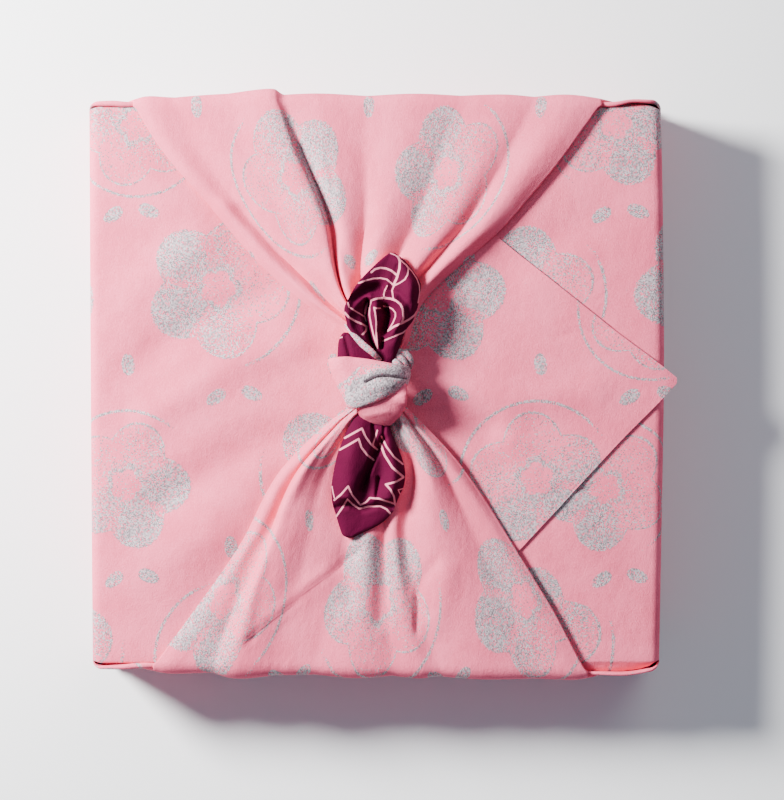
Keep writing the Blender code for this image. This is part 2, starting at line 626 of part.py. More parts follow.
def upper_roll():
    cloth = Cloth()
    rows = []
    for hoop in UPPER_ROLL:
        ring = []
        for side in range(HOOP_SIDES):
            a = math.tau * side / HOOP_SIDES
            ring.append((
                hoop.x + hoop.half_x * math.cos(a),
                hoop.y + hoop.half_y * math.sin(a) + hoop.slant * math.cos(a),
                hoop.z + hoop.rise_x * math.cos(a) + hoop.rise_y * math.sin(a),
            ))
        rows.append(ring + ring[:1])
    cloth.add_grid(rows)
    return cloth.as_object("upper_roll", ROLL_THICKNESS)


def cloth_material():
    material = bpy.data.materials.new("pink_cotton")
    material.use_nodes = True
    shader = material.node_tree.nodes["Principled BSDF"]
    shader.inputs["Base Color"].default_value = CLOTH_COLOUR
    shader.inputs["Roughness"].default_value = CLOTH_ROUGHNESS
    shader.inputs["Metallic"].default_value = 0.0
    return material


def join_to(whole, pieces, hidden):
    """The pieces become part of the whole by one Boolean union, and are hidden themselves."""
    for piece in pieces:
        hidden.objects.link(piece)
        piece.hide_render = True
        piece.display_type = "WIRE"
    union = whole.modifiers.new("Join stretches", "BOOLEAN")
    union.operation = "UNION"
    union.solver = "EXACT"
    union.use_self = True
    union.operand_type = "COLLECTION"
    union.collection = hidden


def build():
    for old in list(bpy.data.objects):
        bpy.data.objects.remove(old, do_unlink=True)
    parcel = bpy.data.collections.new("furoshiki_wrap")
    joined = bpy.data.collections.new("joined_stretches")
    for collection in (parcel, joined):
        bpy.context.scene.collection.children.link(collection)
    joined.hide_render = True
    wrap = side_to_side_sheet()
    parcel.objects.link(wrap)
    wrap.data.materials.append(cloth_material())
    pieces = [end_sheet(sheet) for sheet in END_SHEETS]
    pieces += [knot_heart(), band("left_to_right_band", LEFT_TO_RIGHT_BAND), band("lower_loop", LOWER_LOOP)]
    pieces += [tail("upper_tail", UPPER_TAIL), tail("lower_tail", LOWER_TAIL)]
    pieces += [upper_roll(), band("inner_tube", INNER_TUBE)]
    join_to(wrap, pieces, joined)
    wrap.data.shade_smooth()
    wrap.data.set_sharp_from_angle(angle=math.radians(40))


build()
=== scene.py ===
"""A furoshiki parcel: one square printed cloth, folded round a flat square shape and tied on its face.

The parcel is hollow, and its cloth thin. The printed pink face is outside, and the plum reverse shows in
the tails and in the slits at the corners. Metres, +Z up. The parcel lies on its back, the knot on top.
The origin is the centre of its underside, +X is to the right and +Y towards the upper end.
"""

import math
from collections import namedtuple

import bpy
import numpy as np
from bpy.props import FloatProperty, FloatVectorProperty, PointerProperty
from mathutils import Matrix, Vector


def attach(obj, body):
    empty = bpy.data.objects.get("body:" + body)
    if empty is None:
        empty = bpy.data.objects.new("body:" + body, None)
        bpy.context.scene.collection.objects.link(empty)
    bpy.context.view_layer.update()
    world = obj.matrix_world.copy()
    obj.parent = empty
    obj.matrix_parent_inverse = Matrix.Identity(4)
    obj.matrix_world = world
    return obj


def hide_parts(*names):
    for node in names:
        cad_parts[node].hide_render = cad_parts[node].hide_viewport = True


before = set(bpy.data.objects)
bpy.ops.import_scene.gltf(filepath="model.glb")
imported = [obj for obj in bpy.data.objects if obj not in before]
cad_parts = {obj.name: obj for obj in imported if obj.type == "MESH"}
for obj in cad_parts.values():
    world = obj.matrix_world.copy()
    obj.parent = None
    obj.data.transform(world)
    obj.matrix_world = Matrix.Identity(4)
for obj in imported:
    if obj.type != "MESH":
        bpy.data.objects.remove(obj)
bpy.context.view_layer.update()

bl_info = {
    "name": "Furoshiki wrap",
    "version": (1, 0, 0),
    "blender": (4, 5, 0),
    "location": "3D View > Sidebar > Furoshiki",
    "description": "Drapes, ties and lights one printed wrapping cloth",
    "category": "Add Mesh",
}

BODY = "root"
NODE = "wrap_cloth"
FLAT_MAP = "flat_place"
PRINT_MARKS = "print_marks"
# Places that agree to so many decimals of a metre are one point, and edges past so many degrees look sharp
WELD_DECIMALS = 6
SHARP_FROM = 58.0
TINY = 1e-9

# The side-to-side sheet, at the middle of its thickness
WALL_X = 0.14435
CORNER_Y = 0.139
UNDERSIDE_Z = 0.00025
LOWER_BEND = 0.00395
UPPER_BEND = 0.00495
RIGHT_FACE_Z = 0.0460
LEFT_FACE_Z = 0.0472
FACE_CROWN = 0.0012
BULGE_FROM_Z = 0.005
BULGE_RISE = 0.035
LEAN_FROM_X = 0.120
LEAN_RUN = 0.024
LEFT_TIP = (0.1505, 0.0025)
LEFT_EDGE_SLOPES = (1.0796, 0.797)
RIGHT_TIP = (-0.138, 0.0)
RIGHT_EDGE_SLOPES = (0.83, 0.90)
BLUNT_CORNER = 0.0015
TIP_DROOP_FROM_X = 0.138
TIP_DROOP_RUN = 0.0125
TIP_DROOP = 0.0016
END_DROP = 0.038
DROP_RUN = 0.020
DROP_OUT = 0.0012
LEFT_WALL_OUT = ((-0.139, -0.0014), (0.0, -0.0004), (0.139, 0.0003))
RIGHT_WALL_OUT = ((-0.139, -0.0009), (-0.060, 0.0006), (0.010, 0.0016), (0.090, 0.0010), (0.139, 0.0))

# How finely the sheet is drawn. A flap's rows crowd towards its corner
LEFT_FLAP_ROWS = 78
RIGHT_FLAP_ROWS = 70
ROW_CROWDING = 1.1
SHEET_COLUMNS = 91
BEND_STEPS = 6
WALL_STEPS = 9
COLUMNS_PER_FOLD = 8
FACE_ROWS = 58
HEM_STEPS = 5
HEM_TURN_STEPS = 7
DROP_TURN_STEPS = 5
DROP_STEPS = 9
LIP_TURN_STEPS = 7
LIP_STEPS = 17
LIP_ROLL_STEPS = 7

# The pocket lips, which are the cloth of the side walls carried round each corner behind the end sheet
LIP_Y = 0.1424
LIP_CORNER = 0.0044
LIP_TOP = ((0.0, 0.0474), (0.5, 0.0478), (0.85, 0.0470), (1.15, 0.0454), (2.0, 0.0450))
LIP_OPENS_FROM_Z = 0.024
LIP_OPENING = 0.016
LIP_LENGTH = 1.6
LIP_HEM = 0.007
DROP_SLOPE_DEPTH = 0.0045
# Each corner's lip: how far it lies out and the radius of its rolled top, both by its share of the way to
# the end sheet, and how far the flap's own end slopes out below it, by distance from the parcel's middle
Corner = namedtuple("Corner", "name side end covered_at lip_out roll drop_out")
CORNERS = (
    Corner("upper left", -1, 1, 0.020, ((0.0, 0.0004), (0.4, 0.0007), (0.7, 0.0002), (1.0, 0.0)),
           ((0.0, 0.0009), (0.3, 0.0012), (0.8, 0.0011), (1.2, 0.0005)),
           ((0.115, 0.0012), (0.144, 0.0012))),
    Corner("upper right", 1, 1, 0.027, ((0.0, 0.0012), (0.4, 0.0014), (0.7, 0.0002), (1.0, 0.0)),
           ((0.0, 0.0005), (0.4, 0.0005), (0.8, 0.0009), (1.2, 0.0004)),
           ((0.112, 0.0042), (0.126, 0.0040), (0.134, 0.0034), (0.138, 0.0030), (0.1405, 0.0020),
            (0.144, 0.0012))),
    Corner("lower left", -1, -1, 0.029, ((0.0, 0.0006), (0.4, 0.0007), (0.7, 0.0002), (1.0, 0.0)),
           ((0.0, 0.0005), (0.4, 0.0009), (0.9, 0.0011), (1.2, 0.0004)),
           ((0.110, 0.0012), (0.144, 0.0012))),
    Corner("lower right", 1, -1, 0.032, ((0.0, 0.0018), (0.4, 0.0038), (1.0, 0.0034), (1.6, 0.0026)),
           ((0.0, 0.0004), (0.4, 0.0005), (1.0, 0.0005), (1.6, 0.0004)),
           ((0.100, 0.0066), (0.122, 0.0066), (0.128, 0.0060), (0.134, 0.0050), (0.138, 0.0040),
            (0.1405, 0.0026), (0.144, 0.0012))),
)

# The end sheets, at the middle of their thickness
END_WALL_Y = 0.1442
END_LOWER_BEND = 0.0045
END_UPPER_BEND = 0.0050
END_FACE_Z = 0.0495
FACE_EDGE_Y = 0.142
KNOT_Y = 0.008
KNOT_LIFT = 0.0042
KNOT_LIFT_FROM = 0.55
WALL_OUT_FADES_BY = 0.25
FOLD_RADIUS = 0.0007
FOLD_UNDER_SHARE = 0.42
FOLD_UNDER_FROM_Z = 0.006
FOLD_UNDER_RISE = 0.018
GATHERED_HALF = 0.055
PLEATS = 15
PLEAT_HEIGHT = 0.00035
PLEATS_FROM = 0.55
PLEATS_RISE = 0.4
PLEAT_SWAY = 2.0
PLEAT_SWAYS = 9.0
FOLD_SCALE = 1.45
CREASE_SHARE = 0.75

# Each fold's place across its end sheet and its height, at four shares of the way to the knot
FOLDS_AT = (0.0, 0.5, 0.79, 1.0)
Fold = namedtuple("Fold", "name across lift")
EndSheet = namedtuple("EndSheet", "name end left_edge right_edge wall_out folds creases")

UPPER_FOLDS = (
    Fold("left edge", (0.0, 0.0, 0.0, 0.0), (0.0, 0.0, 0.0, 0.0010)),
    Fold("edge band", (0.03, 0.045, 0.10, 0.08), (0.0009, 0.0020, 0.0028, 0.0032)),
    Fold("edge trough", (0.085, 0.105, 0.205, 0.16), (0.0002, 0.0002, 0.0004, 0.0024)),
    Fold("left panel", (0.20, 0.22, 0.28, 0.24), (0.0010, 0.0020, 0.0030, 0.0042)),
    Fold("main ridge", (0.29, 0.345, 0.335, 0.31), (0.0025, 0.0050, 0.0050, 0.0046)),
    Fold("valley", (0.320, 0.374, 0.360, 0.37), (0.0004, 0.0004, 0.0009, 0.0034)),
    Fold("second ridge", (0.40, 0.42, 0.40, 0.45), (0.0010, 0.0042, 0.0056, 0.0050)),
    Fold("panel trough", (0.50, 0.50, 0.50, 0.52), (0.0004, 0.0009, 0.0014, 0.0036)),
    Fold("third ridge", (0.60, 0.57, 0.58, 0.59), (0.0012, 0.0040, 0.0052, 0.0050)),
    Fold("soft trough", (0.70, 0.675, 0.67, 0.66), (0.0004, 0.0005, 0.0007, 0.0034)),
    Fold("fourth ridge", (0.79, 0.79, 0.77, 0.74), (0.0009, 0.0036, 0.0052, 0.0046)),
    Fold("deep trough", (0.86, 0.86, 0.85, 0.82), (0.0002, 0.0003, 0.0005, 0.0026)),
    Fold("edge roll", (0.93, 0.93, 0.93, 0.92), (0.0012, 0.0032, 0.0042, 0.0036)),
    Fold("right edge", (1.0, 1.0, 1.0, 1.0), (0.0, 0.0, 0.0, 0.0010)),
)
LOWER_FOLDS = (
    Fold("left edge", (0.0, 0.0, 0.0, 0.0), (0.0, 0.0, 0.0, 0.0010)),
    Fold("edge band", (0.04, 0.035, 0.045, 0.06), (0.0008, 0.0016, 0.0022, 0.0026)),
    Fold("edge trough", (0.13, 0.085, 0.09, 0.12), (0.0002, 0.0003, 0.0006, 0.0026)),
    Fold("main ridge", (0.19, 0.115, 0.13, 0.19), (0.0022, 0.0050, 0.0052, 0.0046)),
    Fold("left panel", (0.28, 0.24, 0.24, 0.27), (0.0008, 0.0018, 0.0024, 0.0042)),
    Fold("soft trough", (0.37, 0.38, 0.36, 0.36), (0.0003, 0.0003, 0.0006, 0.0036)),
    Fold("middle ridge", (0.47, 0.47, 0.46, 0.45), (0.0014, 0.0026, 0.0028, 0.0044)),
    Fold("middle trough", (0.55, 0.53, 0.57, 0.54), (0.0003, 0.0004, 0.0008, 0.0040)),
    Fold("tail ridge", (0.61, 0.57, 0.66, 0.63), (0.0012, 0.0022, 0.0022, 0.0042)),
    Fold("tail trough", (0.66, 0.615, 0.74, 0.71), (0.0003, 0.0003, 0.0005, 0.0034)),
    Fold("right panel", (0.76, 0.74, 0.82, 0.80), (0.0012, 0.0038, 0.0048, 0.0044)),
    Fold("right trough", (0.88, 0.88, 0.89, 0.88), (0.0005, 0.0010, 0.0012, 0.0026)),
    Fold("edge roll", (0.955, 0.955, 0.95, 0.94), (0.0007, 0.0013, 0.0018, 0.0026)),
    Fold("right edge", (1.0, 1.0, 1.0, 1.0), (0.0, 0.0, 0.0, 0.0010)),
)

# Creases and soft swells that lie across the folds: the points each runs through in X and Y, its half
# width, and its height, which is below zero for a trough
Crease = namedtuple("Crease", "name points width height")
UPPER_CREASES = (
    Crease("fold line in the panel", ((-0.0246, 0.120), (-0.0207, 0.096)), 0.0010, -0.0006),
    Crease("swell by the right edge", ((0.095, 0.128), (0.070, 0.100)), 0.0080, 0.0005),
    Crease("dimple under the crest", ((-0.070, 0.125), (-0.040, 0.095)), 0.0070, -0.0005),
    Crease("dark side of the main ridge", ((-0.0375, 0.1185), (-0.0320, 0.1034), (-0.0215, 0.0822),
                                           (-0.0170, 0.0700), (-0.0142, 0.0580)), 0.0030, -0.0015),
    Crease("roll beside the left edge", ((-0.0760, 0.0900), (-0.0620, 0.0760), (-0.0530, 0.0650),
                                         (-0.0380, 0.0505), (-0.0285, 0.0420)), 0.0040, 0.0013),
    Crease("dark inside that roll", ((-0.0680, 0.0872), (-0.0542, 0.0741), (-0.0418, 0.0610),
                                     (-0.0295, 0.0504), (-0.0229, 0.0421), (-0.0160, 0.0330)),
           0.0034, -0.0012),
    Crease("room under the tail", ((0.0050, 0.0440), (0.0030, 0.0200)), 0.0110, -0.0086),
)
LOWER_CREASES = (
    Crease("crest of the main ridge", ((-0.0665, -0.1260), (-0.0593, -0.0983), (-0.0497, -0.0731),
                                       (-0.0419, -0.0542), (-0.0310, -0.0300)), 0.0034, 0.0015),
    Crease("dark left of the main ridge", ((-0.0770, -0.1250), (-0.0623, -0.0857), (-0.0500, -0.0666)),
           0.0034, -0.0010),
    Crease("dark right of the main ridge", ((-0.0431, -0.0580), (-0.0530, -0.0832), (-0.0605, -0.1084)),
           0.0042, -0.0013),
    Crease("diagonal crease", ((-0.0639, -0.1281), (-0.0292, -0.0998), (-0.0073, -0.0827)), 0.0013, -0.0013),
    Crease("pull beside the crease", ((-0.058, -0.122), (-0.026, -0.095)), 0.0040, 0.0012),
    Crease("middle pull", ((-0.0134, -0.086), (-0.0134, -0.108)), 0.0045, -0.0016),
    Crease("tail shadow", ((0.0023, -0.080), (0.0023, -0.118)), 0.0040, -0.0017),
    Crease("short crease", ((0.0305, -0.0877), (0.0214, -0.1019), (0.0204, -0.1246)), 0.0015, -0.0013),
    Crease("swell beside it", ((0.036, -0.094), (0.030, -0.120)), 0.0060, 0.0013),
    Crease("hem line by the right edge", ((0.020, -0.058), (0.058, -0.098), (0.090, -0.134)), 0.0012, 0.0004),
    Crease("room under the tail", ((0.0010, -0.0200), (0.0000, -0.0330)), 0.0085, -0.0068),
    Crease("room under its middle", ((-0.0020, -0.0400), (-0.0060, -0.0540)), 0.0070, -0.0032),
)
# Dips and pulls of the whole face, which fade out near the parcel's edges
PULL_SCALE = 1.6
PULLS_FADE = 3.0
FACE_CREASES = (
    Crease("dip by the upper left edge", ((-0.0305, 0.0430), (-0.0429, 0.0531), (-0.0585, 0.0677),
                                          (-0.0800, 0.0931), (-0.1040, 0.1217)), 0.0115, -0.0019),
    Crease("dip by the lower left edge", ((-0.0447, -0.0468), (-0.0651, -0.0846), (-0.1000, -0.1280)),
           0.0105, -0.0014),
    Crease("upper left pull", ((-0.135, 0.040), (-0.090, 0.070)), 0.010, 0.0012),
    Crease("left pull", ((-0.130, 0.005), (-0.085, 0.035), (-0.055, 0.045)), 0.009, -0.0015),
    Crease("middle left pull", ((-0.120, -0.020), (-0.070, 0.012), (-0.040, 0.020)), 0.008, 0.0013),
    Crease("low left pull", ((-0.110, -0.060), (-0.060, -0.030), (-0.035, -0.025)), 0.010, -0.0017),
    Crease("lower left swell", ((-0.125, -0.100), (-0.085, -0.075)), 0.012, 0.0013),
    Crease("pull to the knot", ((0.025, 0.000), (0.070, -0.008), (0.110, -0.003)), 0.009, 0.0009),
    Crease("shade under the knot", ((0.020, -0.014), (0.055, -0.022)), 0.008, -0.0015),
    Crease("fine crease upper right", ((0.090, 0.024), (0.128, 0.030)), 0.0012, -0.00045),
    Crease("fine crease lower right", ((0.086, -0.055), (0.128, -0.050)), 0.0012, -0.00045),
    Crease("right pull", ((0.075, -0.050), (0.120, -0.090)), 0.010, 0.00075),
    Crease("upper right pull", ((0.065, 0.060), (0.120, 0.090)), 0.010, -0.0009),
)
# Long soft waves of the whole face, with their angle in degrees
Wave = namedtuple("Wave", "length angle phase height")
CLOTH_WAVES = (
    Wave(0.110, 35.0, 0.4, 0.00044),
    Wave(0.062, -28.0, 1.9, 0.00027),
    Wave(0.041, 62.0, 3.1, 0.00018),
    Wave(0.026, 12.0, 5.0, 0.00010),
)
# Each end sheet: its left and right edge in X, by distance from the parcel's middle, and how far its wall
# stands out, by X
END_SHEETS = (
    EndSheet(
        "upper",
        1,
        ((0.010, -0.0085), (0.0265, -0.0139), (0.0404, -0.0335), (0.0505, -0.0459), (0.0651, -0.0615),
         (0.0905, -0.0830), (0.1191, -0.1074), (0.142, -0.1213)),
        ((0.010, 0.0095), (0.020, 0.0149), (0.0429, 0.0240), (0.0698, 0.0527), (0.0788, 0.0627),
         (0.0958, 0.0777), (0.1138, 0.0926), (0.142, 0.1132)),
        ((-0.138, 0.0), (-0.121, 0.0001), (-0.055, 0.0017), (0.0, 0.0011), (0.060, 0.0012), (0.113, 0.0004),
         (0.138, 0.0002)),
        UPPER_FOLDS,
        UPPER_CREASES,
    ),
    EndSheet(
        "lower",
        -1,
        ((0.010, -0.0100), (0.020, -0.0240), (0.0448, -0.0482), (0.0826, -0.0686), (0.142, -0.1112)),
        ((0.010, 0.0135), (0.0398, 0.0416), (0.0857, 0.0716), (0.142, 0.1060)),
        ((-0.138, 0.0), (-0.111, 0.0002), (-0.081, 0.0006), (-0.003, 0.0018), (0.050, 0.0025),
         (0.095, 0.0035), (0.108, 0.0038), (0.138, 0.0026)),
        LOWER_FOLDS,
        LOWER_CREASES,
    ),
)

# The knot: each band is a row of flattened rings, from where it comes up to where it goes down. A ring is
# turned by degrees
Ring = namedtuple("Ring", "x y z turn width thick")
LEFT_TO_RIGHT_BAND = (
    Ring(-0.0095, 0.0010, 0.0578, -22, 0.0190, 0.0050),
    Ring(-0.0145, 0.0014, 0.0590, -24, 0.0226, 0.0050),
    Ring(-0.0174, 0.0014, 0.0627, -25, 0.0254, 0.0050),
    Ring(-0.0156, 0.0012, 0.0670, -25, 0.0264, 0.0052),
    Ring(-0.0105, 0.0010, 0.0696, -20, 0.0255, 0.0060),
    Ring(-0.0020, 0.0018, 0.0706, -8, 0.0220, 0.0066),
    Ring(0.0060, 0.0028, 0.0698, 4, 0.0170, 0.0068),
    Ring(0.0118, 0.0035, 0.0670, 12, 0.0128, 0.0064),
    Ring(0.0145, 0.0036, 0.0625, 16, 0.0116, 0.0058),
    Ring(0.0132, 0.0034, 0.0588, 18, 0.0110, 0.0052),
    Ring(0.0095, 0.0030, 0.0574, 18, 0.0105, 0.0048),
)
LOWER_LOOP = (
    Ring(0.0060, 0.0040, 0.0600, 62, 0.0190, 0.0080),
    Ring(0.0045, -0.0020, 0.0636, 63, 0.0240, 0.0080),
    Ring(0.0030, -0.0072, 0.0655, 66, 0.0260, 0.0080),
    Ring(0.0022, -0.0115, 0.0650, 80, 0.0235, 0.0080),
    Ring(0.0010, -0.0145, 0.0626, 98, 0.0200, 0.0078),
    Ring(0.0002, -0.0160, 0.0588, 108, 0.0175, 0.0072),
    Ring(0.0006, -0.0125, 0.0555, 108, 0.0150, 0.0070),
)
OUTER_PLEAT = (
    Ring(0.0080, 0.0160, 0.0590, 0, 0.0030, 0.0026),
    Ring(0.0112, 0.0168, 0.0612, 8, 0.0033, 0.0028),
    Ring(0.0155, 0.0154, 0.0616, 35, 0.0034, 0.0028),
    Ring(0.0176, 0.0118, 0.0600, 65, 0.0032, 0.0028),
    Ring(0.0170, 0.0085, 0.0565, 80, 0.0028, 0.0026),
)
MIDDLE_PLEAT = (
    Ring(0.0070, 0.0140, 0.0590, 0, 0.0030, 0.0026),
    Ring(0.0098, 0.0146, 0.0616, 10, 0.0032, 0.0028),
    Ring(0.0132, 0.0131, 0.0624, 35, 0.0032, 0.0028),
    Ring(0.0151, 0.0098, 0.0610, 60, 0.0030, 0.0028),
    Ring(0.0150, 0.0072, 0.0570, 75, 0.0028, 0.0026),
)
INNER_PLEAT = (
    Ring(0.0060, 0.0115, 0.0590, 0, 0.0030, 0.0026),
    Ring(0.0085, 0.0121, 0.0620, 10, 0.0032, 0.0028),
    Ring(0.0112, 0.0108, 0.0632, 35, 0.0032, 0.0028),
    Ring(0.0130, 0.0084, 0.0620, 55, 0.0030, 0.0028),
    Ring(0.0130, 0.0060, 0.0590, 70, 0.0028, 0.0026),
)
HEM_STRIP = (
    Ring(-0.0150, 0.0300, 0.0600, 42, 0.0010, 0.0012),
    Ring(-0.0128, 0.0270, 0.0648, 44, 0.0018, 0.0014),
    Ring(-0.0068, 0.0206, 0.0672, 46, 0.0033, 0.0016),
    Ring(-0.0012, 0.0158, 0.0672, 48, 0.0030, 0.0016),
    Ring(0.0025, 0.0122, 0.0640, 50, 0.0020, 0.0014),
)
KNOT_CREASES = (
    Crease("fold in the band", ((-0.0045, 0.0012), (0.0005, 0.0037), (0.0050, 0.0042), (0.0150, 0.0030)),
           0.0006, -0.0022),
    Crease("swell over the fold", ((-0.0020, 0.0062), (0.0060, 0.0078), (0.0130, 0.0066)), 0.0022, 0.0007),
    Crease("swell under the fold", ((-0.0040, -0.0030), (0.0040, -0.0002), (0.0120, 0.0004)), 0.0020, 0.0005),
    Crease("pull at the left", ((-0.0190, 0.0100), (-0.0120, 0.0020)), 0.0030, 0.0005),
)
LOOP_CREASES = (
    Crease("pull to the right", ((0.0020, -0.0075), (0.0150, -0.0030)), 0.0012, -0.0005),
    Crease("pull across", ((-0.0050, -0.0160), (0.0060, -0.0135)), 0.0016, 0.0004),
)
RING_SIDES = 120
RINGS_PER_STEP = 14
RING_FLATNESS = 0.8
CREASED_BELOW_RIM = 0.2
FAINTEST_PRINT = 0.05

# The tails, each a leaf of folded cloth: left and right edge and the height across it, at rows along Y
Leaf = namedtuple("Leaf", "y left right heights")
LEAF_ACROSS = (0.0, 0.15, 0.32, 0.5, 0.68, 0.85, 1.0)
UPPER_TAIL = (
    Leaf(0.0100, -0.0005, 0.0085, (0.0630, 0.0632, 0.0632, 0.0632, 0.0634, 0.0632, 0.0630)),
    Leaf(0.0180, -0.0040, 0.0118, (0.0645, 0.0642, 0.0638, 0.0638, 0.0648, 0.0652, 0.0640)),
    Leaf(0.0270, -0.0127, 0.0152, (0.0660, 0.0642, 0.0630, 0.0628, 0.0645, 0.0662, 0.0640)),
    Leaf(0.0320, -0.0145, 0.0188, (0.0665, 0.0636, 0.0616, 0.0612, 0.0645, 0.0668, 0.0636)),
    Leaf(0.0380, -0.0154, 0.0209, (0.0662, 0.0630, 0.0608, 0.0610, 0.0645, 0.0668, 0.0628)),
    Leaf(0.0440, -0.0127, 0.0222, (0.0650, 0.0622, 0.0604, 0.0610, 0.0642, 0.0660, 0.0618)),
    Leaf(0.0500, -0.0092, 0.0227, (0.0636, 0.0616, 0.0602, 0.0610, 0.0634, 0.0646, 0.0606)),
    Leaf(0.0550, -0.0050, 0.0202, (0.0622, 0.0610, 0.0600, 0.0606, 0.0624, 0.0630, 0.0598)),
    Leaf(0.0600, 0.0000, 0.0166, (0.0608, 0.0602, 0.0598, 0.0602, 0.0612, 0.0612, 0.0592)),
    Leaf(0.0640, 0.0045, 0.0125, (0.0596, 0.0596, 0.0594, 0.0596, 0.0598, 0.0596, 0.0588)),
    Leaf(0.0659, 0.0070, 0.0097, (0.0590, 0.0590, 0.0590, 0.0590, 0.0590, 0.0588, 0.0586)),
)
LOWER_TAIL = (
    Leaf(-0.0766, -0.0142, -0.0112, (0.0538, 0.0538, 0.0540, 0.0540, 0.0540, 0.0538, 0.0538)),
    Leaf(-0.0750, -0.0166, -0.0080, (0.0540, 0.0546, 0.0548, 0.0548, 0.0548, 0.0544, 0.0540)),
    Leaf(-0.0700, -0.0184, 0.0020, (0.0546, 0.0554, 0.0556, 0.0554, 0.0554, 0.0552, 0.0546)),
    Leaf(-0.0645, -0.0200, 0.0080, (0.0554, 0.0560, 0.0560, 0.0556, 0.0558, 0.0558, 0.0552)),
    Leaf(-0.0600, -0.0214, 0.0102, (0.0562, 0.0570, 0.0566, 0.0558, 0.0566, 0.0570, 0.0560)),
    Leaf(-0.0560, -0.0219, 0.0118, (0.0570, 0.0592, 0.0592, 0.0562, 0.0582, 0.0592, 0.0570)),
    Leaf(-0.0500, -0.0219, 0.0144, (0.0570, 0.0594, 0.0602, 0.0566, 0.0570, 0.0594, 0.0572)),
    Leaf(-0.0420, -0.0206, 0.0147, (0.0576, 0.0600, 0.0610, 0.0592, 0.0568, 0.0598, 0.0578)),
    Leaf(-0.0330, -0.0184, 0.0120, (0.0587, 0.0607, 0.0613, 0.0607, 0.0581, 0.0601, 0.0585)),
    Leaf(-0.0220, -0.0138, 0.0076, (0.0600, 0.0610, 0.0614, 0.0606, 0.0600, 0.0606, 0.0594)),
    Leaf(-0.0130, -0.0090, 0.0070, (0.0600, 0.0600, 0.0600, 0.0596, 0.0596, 0.0600, 0.0600)),
)
SIDE_LEAF = (
    Leaf(0.0110, -0.0190, 0.0010, (0.0600, 0.0612, 0.0618, 0.0620, 0.0620, 0.0618, 0.0612)),
    Leaf(0.0165, -0.0188, -0.0010, (0.0602, 0.0616, 0.0620, 0.0622, 0.0622, 0.0620, 0.0614)),
    Leaf(0.0215, -0.0184, -0.0065, (0.0598, 0.0610, 0.0614, 0.0616, 0.0616, 0.0614, 0.0608)),
    Leaf(0.0250, -0.0170, -0.0120, (0.0590, 0.0596, 0.0600, 0.0600, 0.0600, 0.0598, 0.0594)),
    Leaf(0.0262, -0.0158, -0.0138, (0.0584, 0.0586, 0.0587, 0.0587, 0.0587, 0.0586, 0.0584)),
)
UPPER_TAIL_CREASES = (
    Crease("left rim", ((-0.0050, 0.0195), (-0.0117, 0.0275), (-0.0140, 0.0375), (-0.0115, 0.0440),
                        (-0.0062, 0.0510)), 0.0014, 0.0012),
    Crease("trough below the rim", ((-0.0119, 0.0430), (-0.0060, 0.0466), (0.0021, 0.0490)), 0.0024, -0.0030),
    Crease("finger fold", ((-0.0118, 0.0365), (-0.0075, 0.0412), (-0.0025, 0.0446)), 0.0017, 0.0014),
    Crease("scoop", ((-0.0062, 0.0385), (-0.0045, 0.0405)), 0.0024, -0.0026),
    Crease("left cleft", ((-0.0040, 0.0420), (-0.0053, 0.0349), (-0.0040, 0.0286), (-0.0022, 0.0219),
                          (0.0000, 0.0183)), 0.0011, -0.0056),
    Crease("narrow roll", ((0.0004, 0.0412), (0.0000, 0.0350), (0.0004, 0.0280), (0.0014, 0.0200)),
           0.0019, 0.0018),
    Crease("opening", ((0.0056, 0.0382), (0.0068, 0.0345), (0.0054, 0.0300), (0.0046, 0.0272)),
           0.0023, -0.0082),
    Crease("opening's tail", ((0.0038, 0.0226), (0.0032, 0.0186)), 0.0010, -0.0036),
    Crease("mouth", ((-0.0020, 0.0434), (0.0043, 0.0442), (0.0095, 0.0424), (0.0127, 0.0385),
                     (0.0132, 0.0335), (0.0108, 0.0285), (0.0070, 0.0245)), 0.0017, 0.0020),
    Crease("outside the mouth", ((0.0043, 0.0476), (0.0115, 0.0456), (0.0166, 0.0400), (0.0168, 0.0330),
                                 (0.0130, 0.0270)), 0.0015, -0.0012),
    Crease("spur", ((0.0041, 0.0440), (0.0043, 0.0471), (0.0057, 0.0494)), 0.0010, 0.0008),
    Crease("fold to the tip", ((0.0080, 0.0470), (0.0088, 0.0520), (0.0110, 0.0590)), 0.0014, -0.0009),
    Crease("right lobe", ((0.0178, 0.0500), (0.0186, 0.0420), (0.0170, 0.0330)), 0.0034, 0.0012),
    Crease("lower right band", ((0.0180, 0.0290), (0.0110, 0.0225), (0.0065, 0.0190)), 0.0028, 0.0012),
)
